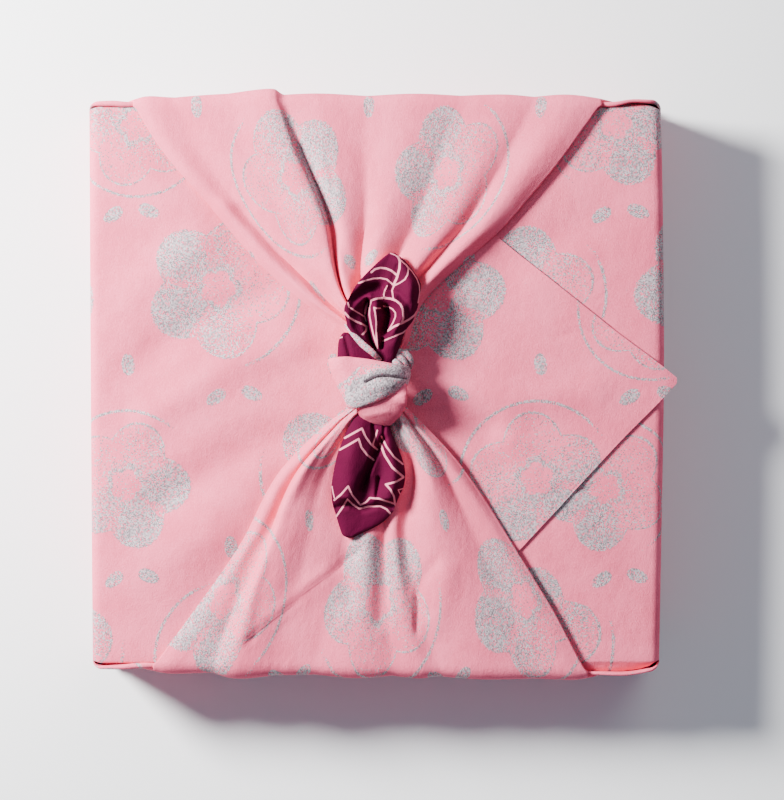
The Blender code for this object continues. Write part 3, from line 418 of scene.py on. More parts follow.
LOWER_TAIL_CREASES = (
    Crease("groove", ((0.0040, -0.0271), (-0.0005, -0.0352), (-0.0034, -0.0426), (-0.0071, -0.0522)),
           0.0014, -0.0043),
    Crease("groove's mouth", ((-0.0048, -0.0480), (-0.0070, -0.0550)), 0.0030, -0.0013),
    Crease("left lobe", ((-0.0090, -0.0270), (-0.0135, -0.0400), (-0.0150, -0.0510)), 0.0050, 0.0016),
    Crease("right lobe", ((0.0070, -0.0320), (0.0092, -0.0430), (0.0080, -0.0520)), 0.0038, 0.0014),
    Crease("inner fold", ((0.0018, -0.0470), (0.0008, -0.0555)), 0.0011, -0.0022),
    Crease("left lobe's end", ((-0.0200, -0.0560), (-0.0139, -0.0562), (-0.0085, -0.0590)), 0.0015, 0.0012),
    Crease("right lobe's end", ((0.0000, -0.0566), (0.0095, -0.0570)), 0.0014, 0.0010),
    Crease("step below the lobes", ((-0.0195, -0.0612), (-0.0130, -0.0602), (-0.0070, -0.0626),
                                    (0.0010, -0.0604), (0.0085, -0.0616)), 0.0015, -0.0018),
    Crease("top pleat", ((-0.0010, -0.0200), (0.0000, -0.0290)), 0.0010, -0.0014),
    Crease("second pleat", ((0.0046, -0.0200), (0.0040, -0.0270)), 0.0009, -0.0012),
)
SIDE_LEAF_CREASES = (
    Crease("pleat", ((-0.0150, 0.0240), (-0.0120, 0.0120)), 0.0012, -0.0008),
)
# The lines of the reverse's scallops, as they fall on the folded tails: points in X and Y, and half width
Line = namedtuple("Line", "name points half")
UPPER_TAIL_LINES = (
    Line("upper arc", ((-0.0020, 0.0561), (-0.0002, 0.0577), (0.0025, 0.0584), (0.0052, 0.0581),
                       (0.0079, 0.0570), (0.0103, 0.0550)), 0.00050),
    Line("up to the tip", ((0.0093, 0.0503), (0.0107, 0.0532), (0.0120, 0.0579), (0.0122, 0.0615),
                           (0.0113, 0.0642)), 0.00055),
    Line("second arc", ((-0.0083, 0.0506), (-0.0042, 0.0521), (-0.0011, 0.0530), (0.0025, 0.0533),
                        (0.0057, 0.0526), (0.0088, 0.0499)), 0.00040),
    Line("beside the tip", ((0.0154, 0.0599), (0.0165, 0.0579), (0.0160, 0.0548), (0.0147, 0.0524),
                            (0.0120, 0.0506), (0.0093, 0.0494), (0.0083, 0.0471), (0.0089, 0.0428)), 0.00038),
    Line("edge", ((0.0075, 0.0657), (0.0100, 0.0647), (0.0123, 0.0625), (0.0154, 0.0596), (0.0184, 0.0565),
                  (0.0207, 0.0530), (0.0220, 0.0494), (0.0222, 0.0462), (0.0213, 0.0408)), 0.00030),
    Line("mouth", ((-0.0020, 0.0421), (0.0001, 0.0428), (0.0043, 0.0433), (0.0075, 0.0428), (0.0102, 0.0418),
                   (0.0124, 0.0400), (0.0136, 0.0376), (0.0140, 0.0331), (0.0130, 0.0304)), 0.00050),
    Line("spur", ((0.0059, 0.0494), (0.0047, 0.0471), (0.0042, 0.0449), (0.0044, 0.0433)), 0.00035),
    Line("inside the mouth", ((0.0040, 0.0394), (0.0066, 0.0390), (0.0086, 0.0377), (0.0100, 0.0358),
                              (0.0100, 0.0338), (0.0088, 0.0309), (0.0066, 0.0273)), 0.00032),
    Line("right side", ((0.0208, 0.0365), (0.0197, 0.0347), (0.0169, 0.0325), (0.0133, 0.0305),
                        (0.0093, 0.0289), (0.0061, 0.0269)), 0.00050),
    Line("below it", ((0.0185, 0.0304), (0.0167, 0.0282), (0.0138, 0.0259), (0.0093, 0.0240),
                      (0.0037, 0.0217)), 0.00038),
    Line("left side", ((-0.0137, 0.0408), (-0.0130, 0.0386), (-0.0105, 0.0370), (-0.0058, 0.0343)), 0.00035),
    Line("low left", ((-0.0152, 0.0358), (-0.0132, 0.0336), (-0.0101, 0.0317), (-0.0065, 0.0302),
                      (-0.0043, 0.0292), (-0.0046, 0.0269), (-0.0065, 0.0250)), 0.00050),
    Line("roll's edge", ((-0.0020, 0.0421), (-0.0029, 0.0390), (-0.0030, 0.0349), (-0.0022, 0.0304),
                         (-0.0010, 0.0250), (0.0010, 0.0183)), 0.00035),
    Line("roll's middle", ((0.0025, 0.0382), (0.0003, 0.0381), (-0.0007, 0.0385), (-0.0001, 0.0358),
                           (0.0004, 0.0318), (0.0005, 0.0241), (0.0010, 0.0187)), 0.00038),
)
LOWER_TAIL_LINES = (
    Line("first left", ((-0.0153, -0.0265), (-0.0112, -0.0242), (-0.0067, -0.0217), (-0.0049, -0.0259),
                        (-0.0022, -0.0296), (0.0010, -0.0324)), 0.00050),
    Line("second left", ((-0.0178, -0.0324), (-0.0130, -0.0297), (-0.0083, -0.0269), (-0.0070, -0.0311),
                         (-0.0044, -0.0346), (-0.0008, -0.0376)), 0.00050),
    Line("top right", ((0.0010, -0.0226), (0.0000, -0.0262), (-0.0012, -0.0296)), 0.00040),
    Line("first right", ((0.0030, -0.0256), (0.0055, -0.0308), (0.0092, -0.0358), (0.0138, -0.0396)),
         0.00045),
    Line("second right", ((0.0025, -0.0294), (0.0046, -0.0351), (0.0084, -0.0411), (0.0141, -0.0460)),
         0.00055),
    Line("right point", ((0.0141, -0.0462), (0.0107, -0.0482), (0.0052, -0.0497), (0.0075, -0.0522),
                         (0.0093, -0.0556), (0.0099, -0.0600)), 0.00050),
    Line("right edge", ((0.0139, -0.0519), (0.0114, -0.0525), (0.0127, -0.0552)), 0.00030),
    Line("left edge", ((-0.0217, -0.0508), (-0.0212, -0.0537), (-0.0204, -0.0568)), 0.00025),
    Line("left point", ((-0.0206, -0.0576), (-0.0171, -0.0546), (-0.0136, -0.0505), (-0.0116, -0.0548),
                        (-0.0075, -0.0601), (-0.0045, -0.0585), (-0.0028, -0.0565), (0.0018, -0.0568),
                        (0.0099, -0.0596)), 0.00045),
    Line("lowest", ((-0.0197, -0.0659), (-0.0166, -0.0615), (-0.0139, -0.0571), (-0.0116, -0.0596),
                    (-0.0082, -0.0620), (-0.0034, -0.0608), (0.0025, -0.0607), (0.0055, -0.0622),
                    (0.0075, -0.0645)), 0.00045),
)
SIDE_LEAF_LINES = (Line("edge", ((-0.0186, 0.0232), (-0.0166, 0.0238)), 0.00030),)
# How far from a line's middle its marks reach, in half widths, and how softly they end
LINE_REACH = 2.0
LINE_SOFTNESS = 0.09
LEAF_ROWS = 150
LEAF_COLUMNS = 120
LEAF_UNDER_COLUMNS = 30
LEAF_THICKNESS = 0.0016
LEAF_DEPTH = 0.0036
LEAF_END_RUN = 0.5
LEAF_SQUARENESS = 6

# Where the knot's cloth is thickly printed: each patch as a line, its half width and how thickly
BAND_SILVER = (Crease("middle", ((-0.0085, -0.0050), (0.0000, 0.0005), (0.0150, 0.0045)), 0.0056, 3.0),)
PLEAT_SILVER = (Crease("all of it", ((0.0060, 0.0120), (0.0170, 0.0120)), 0.0200, 0.9),)
HEM_SILVER = (Crease("all of it", ((-0.0150, 0.0296), (0.0025, 0.0128)), 0.0200, 0.75),)
KnotBand = namedtuple("KnotBand", "name rings creases silver")
KNOT_BANDS = (
    KnotBand("knot_band", LEFT_TO_RIGHT_BAND, KNOT_CREASES, BAND_SILVER),
    KnotBand("knot_loop", LOWER_LOOP, LOOP_CREASES, ()),
    KnotBand("knot_outer_pleat", OUTER_PLEAT, (), PLEAT_SILVER),
    KnotBand("knot_middle_pleat", MIDDLE_PLEAT, (), PLEAT_SILVER),
    KnotBand("knot_inner_pleat", INNER_PLEAT, (), PLEAT_SILVER),
    KnotBand("knot_hem", HEM_STRIP, (), HEM_SILVER),
)
# The mark of cloth that the pattern leaves bare
NO_PRINT = -1.0

# The printed blossoms, on a staggered lattice. Their radius is the least one and how much larger it may be.
# Edges and rings are shares of a blossom's size: an edge fades between its two, and a ring has its place
# and its half width. Levels say how thickly the silver lies
LATTICE = (0.104, 0.092)
BLOSSOM_RADIUS = (0.031, 0.008)
BLOSSOM_WANDER = 0.016
PETALS = 5
PETAL_DEPTH = 0.26
BLOSSOM_EDGE = (1.02, 0.98)
FILL_ACROSS = (-0.7, 0.5)
FILL_LEVELS = (0.12, 0.86)
VEIN_HALF = 0.10
VEINS_FROM = (0.25, 0.6)
VEIN_LEVEL = 0.5
HEART_EDGE = (0.34, 0.24)
HEART_LEVEL = 0.75
HEART_RING = (0.30, 0.05)
HEART_RING_LEVEL = 0.8
OUTLINE = (0.98, 0.022)
OUTER_RING = (1.14, 0.022)
OUTER_RING_ACROSS = (-0.1, -0.6)
LINE_LEVEL = 0.85
DROPS = 3
DROP_TURN = 1.8
DROP_RING = 0.0105
DROP_SIZE = (0.0056, 0.0034)
DROP_EDGE = (1.1, 0.85)
# The soft sides of every ring and line, as a share of its half width
SOFT_SIDE = 0.35

# The grains of the print, and the cotton under it. Each grain's chance is drawn from its place, spread out
# or moved. A noise has its scale, detail and roughness
GRAIN = 0.00052
GRAIN_EDGE = (-0.02, 0.04)
GRAIN_SPREAD = (1000.0, 1000.0, 1000.0)
SHINE_MOVED = (0.5, 0.25, 0.0)
THICKEST_PRINT = 0.99
SILVER_ROUGHNESS = 0.5
SILVER_METALLIC = 0.12
SOFT_MOTTLE = (34.0, 4.0, 0.6)
FINE_MOTTLE = (1100.0, 1.0, 0.5)
FINE_SHARE = 0.6
MOTTLE_RANGE = (0.3, 0.7)
PLUM_MOTTLE = (60.0, 3.0, 0.6)
PINK_ROUGHNESS = 0.88
PLUM_ROUGHNESS = 0.8
YARN = (1500.0, 2.0, 0.7)
SLUBS = (160.0, 3.0, 0.6)
SLUB_SHARE = 1.6
RAISED_SHARE = 0.5
BUMP_STRENGTH = 0.6
BUMP_DISTANCE = 0.0004
SHEEN = 0.08
SHEEN_ROUGHNESS = 0.45
SPECULAR = 0.08

# The reverse's rows of scallops, each a pair of lines
SCALLOP_WIDTH = 0.0265
SCALLOP_HEIGHT = 0.0090
SCALLOP_ROW = 0.0270
OUTER_LINE = 0.00058
INNER_LINE = 0.00040
LINES_APART = 0.0052

# The stage
PHOTO_SIZE = (784, 800)
METRES_PER_PIXEL = 0.0005043
PARCEL_CENTRE_PIXEL = (375.5, 385.0)
LENS_MM = 110.0
SENSOR_MM = 36.0
NEAREST_SEEN = 0.01
FLOOR_HALF = 1.5
FLOOR_Z = -0.0003
FLOOR_COLOUR = (0.93, 0.93, 0.93)
FLOOR_ROUGHNESS = 0.9
AIR_COLOUR = (0.70, 0.77, 1.0)
LAMPS_AIM = (0.0, 0.0, 0.03)
# Each lamp's share is of the light's strength
Lamp = namedtuple("Lamp", "name place size share")
LAMPS = (
    Lamp("window_light", (-0.702, 0.342, 0.55), 0.28, 1.0),
    Lamp("fill_light", (0.5, 0.9, 1.1), 0.9, 0.10),
)


def smooth(t):
    """0 to 1 with level ends."""
    t = np.clip(t, 0.0, 1.0)
    return t * t * (3.0 - 2.0 * t)


def along(table, t):
    """A smooth curve through the table's (place, value) rows, level past its ends."""
    places, values = (np.array(column, float) for column in zip(*table))
    t = np.clip(np.asarray(t, float), places[0], places[-1])
    numbers = np.arange(len(places))
    low, high = np.maximum(numbers - 1, 0), np.minimum(numbers + 1, len(places) - 1)
    slopes = (values[high] - values[low]) / (places[high] - places[low])
    after = np.clip(np.searchsorted(places, t, side="right"), 1, len(places) - 1)
    before = after - 1
    step = places[after] - places[before]
    s = (t - places[before]) / step
    return (
        values[before] * (2 * s**3 - 3 * s**2 + 1)
        + values[after] * (3 * s**2 - 2 * s**3)
        + slopes[before] * step * (s**3 - 2 * s**2 + s)
        + slopes[after] * step * (s**3 - s**2)
    )


def through(values, t):
    """A smooth curve through evenly numbered values, each a number or a row of numbers."""
    values = np.asarray(values, float)
    if values.ndim == 1:
        return along(tuple(enumerate(values)), t)
    return np.stack([along(tuple(enumerate(column)), t) for column in values.T], -1)


def folded(values, t):
    """Between evenly numbered values: well rounded over the high ones and more sharply creased at the low."""
    values = np.asarray(values, float)
    before = np.clip(np.floor(t).astype(int), 0, len(values) - 2)
    share = (t - before).reshape(-1, *([1] * (values.ndim - 1)))
    low, high = values[before], values[before + 1]
    rising = low + (high - low) * np.sin(math.pi / 2 * share)
    falling = high + (low - high) * np.cos(math.pi / 2 * share)
    creased = np.where(high > low, rising, falling)
    return CREASE_SHARE * creased + (1.0 - CREASE_SHARE) * through(values, t)


def lengths_along(path):
    """How far along the path each of its points lies."""
    steps = np.linalg.norm(np.diff(np.asarray(path, float), axis=0), axis=1)
    return np.concatenate([[0.0], np.cumsum(steps)])


def from_crease(points, x, y):
    """Distance from each place to the line through the points."""
    nearest = np.full(np.shape(x), np.inf)
    for (ax, ay), (bx, by) in zip(points, points[1:]):
        run = max((bx - ax) ** 2 + (by - ay) ** 2, TINY)
        share = np.clip(((x - ax) * (bx - ax) + (y - ay) * (by - ay)) / run, 0.0, 1.0)
        nearest = np.minimum(nearest, np.hypot(x - ax - share * (bx - ax), y - ay - share * (by - ay)))
    return nearest


def relief(creases, x, y):
    """Height of all the creases together at each place."""
    height = np.zeros(np.shape(x))
    for crease in creases:
        height += crease.height * np.exp(-((from_crease(crease.points, x, y) / crease.width) ** 2))
    return height


def face_lie(x, y):
    """Height of the face's soft crown and waves, the same for every layer, and nothing at the edges."""
    inside = np.maximum(0.0, 1.0 - (x / (WALL_X - UPPER_BEND)) ** 2)
    inside = inside * np.maximum(0.0, 1.0 - (y / CORNER_Y) ** 2)
    height = np.full(np.shape(x), FACE_CROWN)
    for wave in CLOTH_WAVES:
        angle = math.radians(wave.angle)
        across = x * math.cos(angle) + y * math.sin(angle)
        height = height + wave.height * np.sin(math.tau * across / wave.length + wave.phase)
    return height * inside + PULL_SCALE * relief(FACE_CREASES, x, y) * np.minimum(1.0, PULLS_FADE * inside)


def wall_rise(z):
    """0 at the foot of a wall and 1 at its top: how much of the wall's bulge there is at this height."""
    return smooth((z - BULGE_FROM_Z) / BULGE_RISE)


def lip_opening(z):
    """How far a lip has opened at this height: nothing where the end sheet still covers it."""
    return smooth((z - LIP_OPENS_FROM_Z) / LIP_OPENING)


def lean(x, y, z):
    """X moved out with the side wall it belongs to."""
    out = np.where(x < 0, along(LEFT_WALL_OUT, y), along(RIGHT_WALL_OUT, y))
    return x + np.sign(x) * out * smooth((np.abs(x) - LEAN_FROM_X) / LEAN_RUN) * wall_rise(z)


class Cloth:
    """Grids of points, sewn where they fall together, each face corner with its place on the flat cloth."""

    def __init__(self):
        self.points = []
        self.index = {}
        self.faces = []
        self.corners = []
        self.marks = []
        self.sides = []

    def number(self, place):
        """The place's point, which is new unless one lies there already."""
        key = tuple(np.round(place, WELD_DECIMALS))
        if key not in self.index:
            self.index[key] = len(self.points)
            self.points.append(tuple(place))
        return self.index[key]

    def add(self, places, flat, flip=False, marks=None, side=0):
        """One grid. Its outside is to the left of its columns, or to the right with flip. Marks say what is
        printed at each point beside the pattern, and side is the number of its material."""
        rows, columns = places.shape[:2]
        marks = np.zeros((rows, columns)) if marks is None else marks
        numbers = [[self.number(places[i, j]) for j in range(columns)] for i in range(rows)]
        for i in range(rows - 1):
            for j in range(columns - 1):
                around = [(i, j), (i, j + 1), (i + 1, j + 1), (i + 1, j)]
                if flip:
                    around.reverse()
                seen = {}
                for a, b in around:
                    seen.setdefault(numbers[a][b], (a, b))
                if len(seen) > 2:
                    self.faces.append(list(seen))
                    self.sides.append(side)
                    self.corners.extend(flat[a, b] for a, b in seen.values())
                    self.marks.extend(marks[a, b] for a, b in seen.values())

    def as_object(self, name, materials, thickness=0.0):
        """The cloth as a mesh object. With a thickness, its reverse has the second material."""
        mesh = bpy.data.meshes.new(name)
        mesh.from_pydata(self.points, [], self.faces)
        places = mesh.uv_layers.new(name=FLAT_MAP)
        places.uv.foreach_set("vector", np.array(self.corners, np.float32).ravel())
        marks = mesh.attributes.new(PRINT_MARKS, "FLOAT", "CORNER")
        marks.data.foreach_set("value", np.array(self.marks, np.float32))
        for material in materials:
            mesh.materials.append(material)
        mesh.polygons.foreach_set("material_index", np.array(self.sides, np.int32))
        cloth = bpy.data.objects.new(name, mesh)
        bpy.context.scene.collection.objects.link(cloth)
        if thickness:
            solid = cloth.modifiers.new("Cloth thickness", "SOLIDIFY")
            solid.thickness = thickness
            solid.offset = 0.0
            solid.use_even_offset = True
            solid.use_quality_normals = True
            solid.material_offset = 1
            graph = bpy.context.evaluated_depsgraph_get()
            thick = bpy.data.meshes.new_from_object(cloth.evaluated_get(graph), depsgraph=graph)
            cloth.modifiers.clear()
            cloth.data = thick
            thick.name = name
        cloth.data.shade_smooth()
        cloth.data.set_sharp_from_angle(angle=math.radians(SHARP_FROM))
        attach(cloth, BODY)
        return cloth


def grid_of(x, y, z):
    """One array of places, spread to a common grid."""
    return np.stack(np.broadcast_arrays(x, y, z), -1)


def flap(side, tip, slopes, count):
    """One side flap from its corner to its wall's bend: its rows' X, its edges' Y and both corners' X."""
    tip_x, tip_y = tip
    bend_x = side * (WALL_X - UPPER_BEND)
    x = tip_x + (bend_x - tip_x) * np.linspace(0.0, 1.0, count) ** ROW_CROWDING
    ends = (
        tip_x + side * ((CORNER_Y + tip_y) / slopes[0] - BLUNT_CORNER),
        tip_x + side * ((CORNER_Y - tip_y) / slopes[1] - BLUNT_CORNER),
    )
    for corner in ends:
        x[1 + np.argmin(np.abs(x[1:-1] - corner))] = corner
    run = (x - tip_x) * side + BLUNT_CORNER
    low = np.maximum(-CORNER_Y, tip_y - run * slopes[0])
    high = np.minimum(CORNER_Y, tip_y + run * slopes[1])
    return x, low, high, ends


def wall_path(side, level):
    """X and Z down one side from the face to the underside, bends and wall."""
    centre_x, centre_z = WALL_X - UPPER_BEND, level - UPPER_BEND
    foot_x, foot_z = WALL_X - LOWER_BEND, UNDERSIDE_Z + LOWER_BEND
    upper = np.radians(np.linspace(0, 90, BEND_STEPS))[1:-1]
    lower = np.radians(np.linspace(90, 0, BEND_STEPS))[1:]
    wall_z = np.linspace(centre_z, foot_z, WALL_STEPS)
    x = [
        *(centre_x + UPPER_BEND * np.sin(upper)),
        *([WALL_X] * WALL_STEPS),
        *(foot_x + LOWER_BEND * np.sin(lower)),
    ]
    z = [*(centre_z + UPPER_BEND * np.cos(upper)), *wall_z, *(foot_z - LOWER_BEND * np.cos(lower))]
    return side * np.array(x), np.array(z), len(upper)


def add_drop(cloth, corner, x, edge, z, u, corner_x):
    """The flap's end, turned down behind the end wall from the corner of its cut edge to the side wall."""
    side, end = corner.side, corner.end
    kept = (x - corner_x) * side > -TINY
    x, edge, z, u = x[kept], edge[kept], z[kept], u[kept]
    share = smooth((x - corner_x) * side / DROP_RUN) * smooth((WALL_X - np.abs(x)) / UPPER_BEND)
    turned = np.radians(np.linspace(0, 90, DROP_TURN_STEPS))
    hanging = np.linspace(0, 1, DROP_STEPS + 1)[1:] ** 2
    out = np.concatenate([DROP_OUT * np.sin(turned), np.full(DROP_STEPS, DROP_OUT)])
    down = np.concatenate([-DROP_OUT * (1 - np.cos(turned)), -DROP_OUT - (END_DROP - DROP_OUT) * hanging])
    hang = lengths_along(np.stack([out, down], 1))
    slope = (along(corner.drop_out, np.abs(x)) - DROP_OUT)[:, None] * smooth(-down / DROP_SLOPE_DEPTH)[None]
    y = edge[:, None] + end * (out[None] + slope) * share[:, None]
    z = z[:, None] + down[None] * share[:, None]
    across = np.broadcast_to(x[:, None], y.shape)
    flat = grid_of(u[:, None], edge[:, None] + end * hang[None] * share[:, None], 0.0)[..., :2]
    cloth.add(grid_of(lean(across, y, z), y, z), flat, flip=end == side)


def add_lip(cloth, corner, x, z, u, wall_top):
    """The side wall's cloth carried round one corner: it stands open at the top as a pocket."""
    foot_z = UNDERSIDE_Z + LOWER_BEND
    x, z, u = np.abs(x[wall_top:]), z[wall_top:], u[wall_top:]
    top_z = z[0]
    shrink = np.where(z >= foot_z - TINY, 1.0, (x - (WALL_X - LOWER_BEND)) / LOWER_BEND)
    radius_x = LIP_CORNER - LOWER_BEND * (1.0 - shrink)
    radius_y = (LIP_Y - CORNER_Y) * radius_x / LIP_CORNER
    turns = np.radians(np.linspace(0, 90, LIP_TURN_STEPS))
    beyond = np.linspace(0.0, LIP_LENGTH, LIP_STEPS + 1)[1:]
    share = np.concatenate([turns * 0.0, beyond])
    turned = np.concatenate([turns / turns[-1], np.ones(len(beyond))])
    in_x = np.concatenate([1.0 - np.cos(turns), np.ones(len(beyond))])
    in_y = np.concatenate([np.sin(turns), np.ones(len(beyond))])
    out = along(corner.lip_out, share) * turned
    top = top_z + (along(LIP_TOP, share) - top_z) * turned
    rise = np.clip((z - foot_z) / (top_z - foot_z), 0.0, 1.0)
    straight = np.where(z >= foot_z - TINY, 1.0, shrink)[:, None] * share[None]
    lip_x = x[:, None] - radius_x[:, None] * in_x[None] - straight * corner.covered_at
    lip_y = CORNER_Y + radius_y[:, None] * in_y[None] + out[None] * lip_opening(z)[:, None]
    lip_z = z[:, None] + (top - top_z)[None] * rise[:, None]
    far = lengths_along(np.stack([lip_x[0], lip_y[0]], 1))
    # Its top is rolled over inwards, with a hem that hangs inside
    over = np.radians(np.linspace(180, 0, LIP_ROLL_STEPS + 1))[:-1]
    radius = (along(corner.roll, share) * turned)[None]
    inward = np.concatenate([[2.0], 1.0 - np.cos(over)])[:, None] * radius
    upward = np.concatenate([-LIP_HEM * turned[None], np.sin(over)[:, None] * radius])
    facing = np.concatenate([turns, np.full(len(beyond), math.pi / 2)])
    lip_x = np.concatenate([lip_x[:1] - inward * np.cos(facing), lip_x])
    lip_y = np.concatenate([lip_y[:1] - inward * np.sin(facing), lip_y])
    lip_z = np.concatenate([lip_z[:1] + upward, lip_z])
    rolled = np.concatenate([[LIP_HEM + math.pi * DROP_OUT], over * DROP_OUT])
    u = np.concatenate([u[0] + corner.side * rolled, u])
    flat = grid_of(u[:, None], corner.end * (CORNER_Y + far[None]), 0.0)[..., :2]
    lip_x, lip_y = corner.side * lip_x, corner.end * lip_y
    cloth.add(grid_of(lean(lip_x, lip_y, lip_z), lip_y, lip_z), flat, flip=corner.end == corner.side)


def droop(x, tip_x):
    """The overhanging corner of the upper flap hangs down a little."""
    past = np.maximum(0.0, (x - TIP_DROOP_FROM_X) / TIP_DROOP_RUN) if tip_x > 0 else np.zeros(np.shape(x))
    return TIP_DROOP * past**2


def floor_places():
    """X of the underside's rows, which are the end sheets' columns at the floor."""
    columns = (len(UPPER_FOLDS) - 1) * COLUMNS_PER_FOLD + 1
    return np.linspace(-1.0, 1.0, columns) * (WALL_X - LOWER_BEND)


def add_side_to_side(cloth):
    """Left flap, left wall, underside, right wall and right flap in one sheet, with its lips and drops."""
    share = np.linspace(0.0, 1.0, SHEET_COLUMNS)
    pieces = []
    for side, level, tip, slopes, count in (
        (-1, LEFT_FACE_Z, LEFT_TIP, LEFT_EDGE_SLOPES, LEFT_FLAP_ROWS),
        (1, RIGHT_FACE_Z, RIGHT_TIP, RIGHT_EDGE_SLOPES, RIGHT_FLAP_ROWS),
    ):
        x, low, high, ends = flap(side, tip, slopes, count)
        y = low[:, None] + (high - low)[:, None] * share[None]
        across = np.broadcast_to(x[:, None], y.shape)
        z = level + face_lie(across, y) - droop(across, tip[0])
        wall_x, wall_z, wall_top = wall_path(side, level)
        far = lengths_along(np.stack([np.append(x, wall_x), np.append(np.full(count, level), wall_z)], 1))
        u = side * (far[-1] - far + WALL_X - LOWER_BEND)
        wall_y = np.broadcast_to((-CORNER_Y + 2 * CORNER_Y * share)[None], (len(wall_x), SHEET_COLUMNS))
        whole_x = np.concatenate([across, np.broadcast_to(wall_x[:, None], wall_y.shape)])
        whole_y = np.concatenate([y, wall_y])
        whole_z = np.concatenate([z, np.broadcast_to(wall_z[:, None], wall_y.shape)])
        pieces.append((grid_of(lean(whole_x, whole_y, whole_z), whole_y, whole_z), u, whole_y))
        top = count + wall_top + 1
        for corner in CORNERS:
            if corner.side == side:
                edge = 0 if corner.end < 0 else -1
                far_x, far_y, far_z = whole_x[:top, edge], whole_y[:top, edge], whole_z[:top, edge]
                add_drop(cloth, corner, far_x, far_y, far_z, u[:top], ends[0 if corner.end < 0 else 1])
                add_lip(cloth, corner, wall_x, wall_z, u[count:], wall_top)
    under_x = floor_places()[1:-1]
    under_y = np.broadcast_to((-CORNER_Y + 2 * CORNER_Y * share)[None], (len(under_x), SHEET_COLUMNS))
    under = grid_of(under_x[:, None], under_y, UNDERSIDE_Z)
    (left, left_u, left_y), (right, right_u, right_y) = pieces
    places = np.concatenate([left, under, right[::-1]])
    u = np.concatenate([left_u, under_x, right_u[::-1]])
    flat = grid_of(u[:, None], np.concatenate([left_y, under_y, right_y[::-1]]), 0.0)[..., :2]
    cloth.add(places, flat)


def end_rows():
    """The end sheet's rows from the floor to the knot, as columns of equal length."""
    foot, top_z = END_WALL_Y - END_LOWER_BEND, END_FACE_Z - END_UPPER_BEND
    lower = np.radians(np.linspace(0, 90, BEND_STEPS))
    upper = np.radians(np.linspace(0, 90, BEND_STEPS))[:-1]
    wall = np.linspace(UNDERSIDE_Z + END_LOWER_BEND, top_z, WALL_STEPS)[1:-1]
    y = [CORNER_Y, *(foot + END_LOWER_BEND * np.sin(lower)), *([END_WALL_Y] * len(wall))]
    z = [UNDERSIDE_Z, *(UNDERSIDE_Z + END_LOWER_BEND * (1 - np.cos(lower))), *wall]
    out_y = [0.0, *np.sin(lower), *([1.0] * len(wall))]
    out_z = [-1.0, *(-np.cos(lower)), *([0.0] * len(wall))]
    y += list(END_WALL_Y - END_UPPER_BEND * (1 - np.cos(upper)))
    z += list(top_z + END_UPPER_BEND * np.sin(upper))
    out_y += list(np.cos(upper))
    out_z += list(np.sin(upper))
    walls = len(y)
    first_y = END_WALL_Y - END_UPPER_BEND
    face_y = first_y - (first_y - KNOT_Y) * np.linspace(0.0, 1.0, FACE_ROWS)
    run = np.concatenate([np.zeros(walls), np.maximum(0.0, (FACE_EDGE_Y - face_y) / (FACE_EDGE_Y - KNOT_Y))])
    y = np.concatenate([y, face_y])
    z = np.concatenate([z, np.full(FACE_ROWS, END_FACE_Z)])
    out_y = np.concatenate([out_y, np.zeros(FACE_ROWS)])
    out_z = np.concatenate([out_z, np.ones(FACE_ROWS)])
    on_face = np.arange(len(y)) >= walls
    return y, z, out_y, out_z, run, on_face


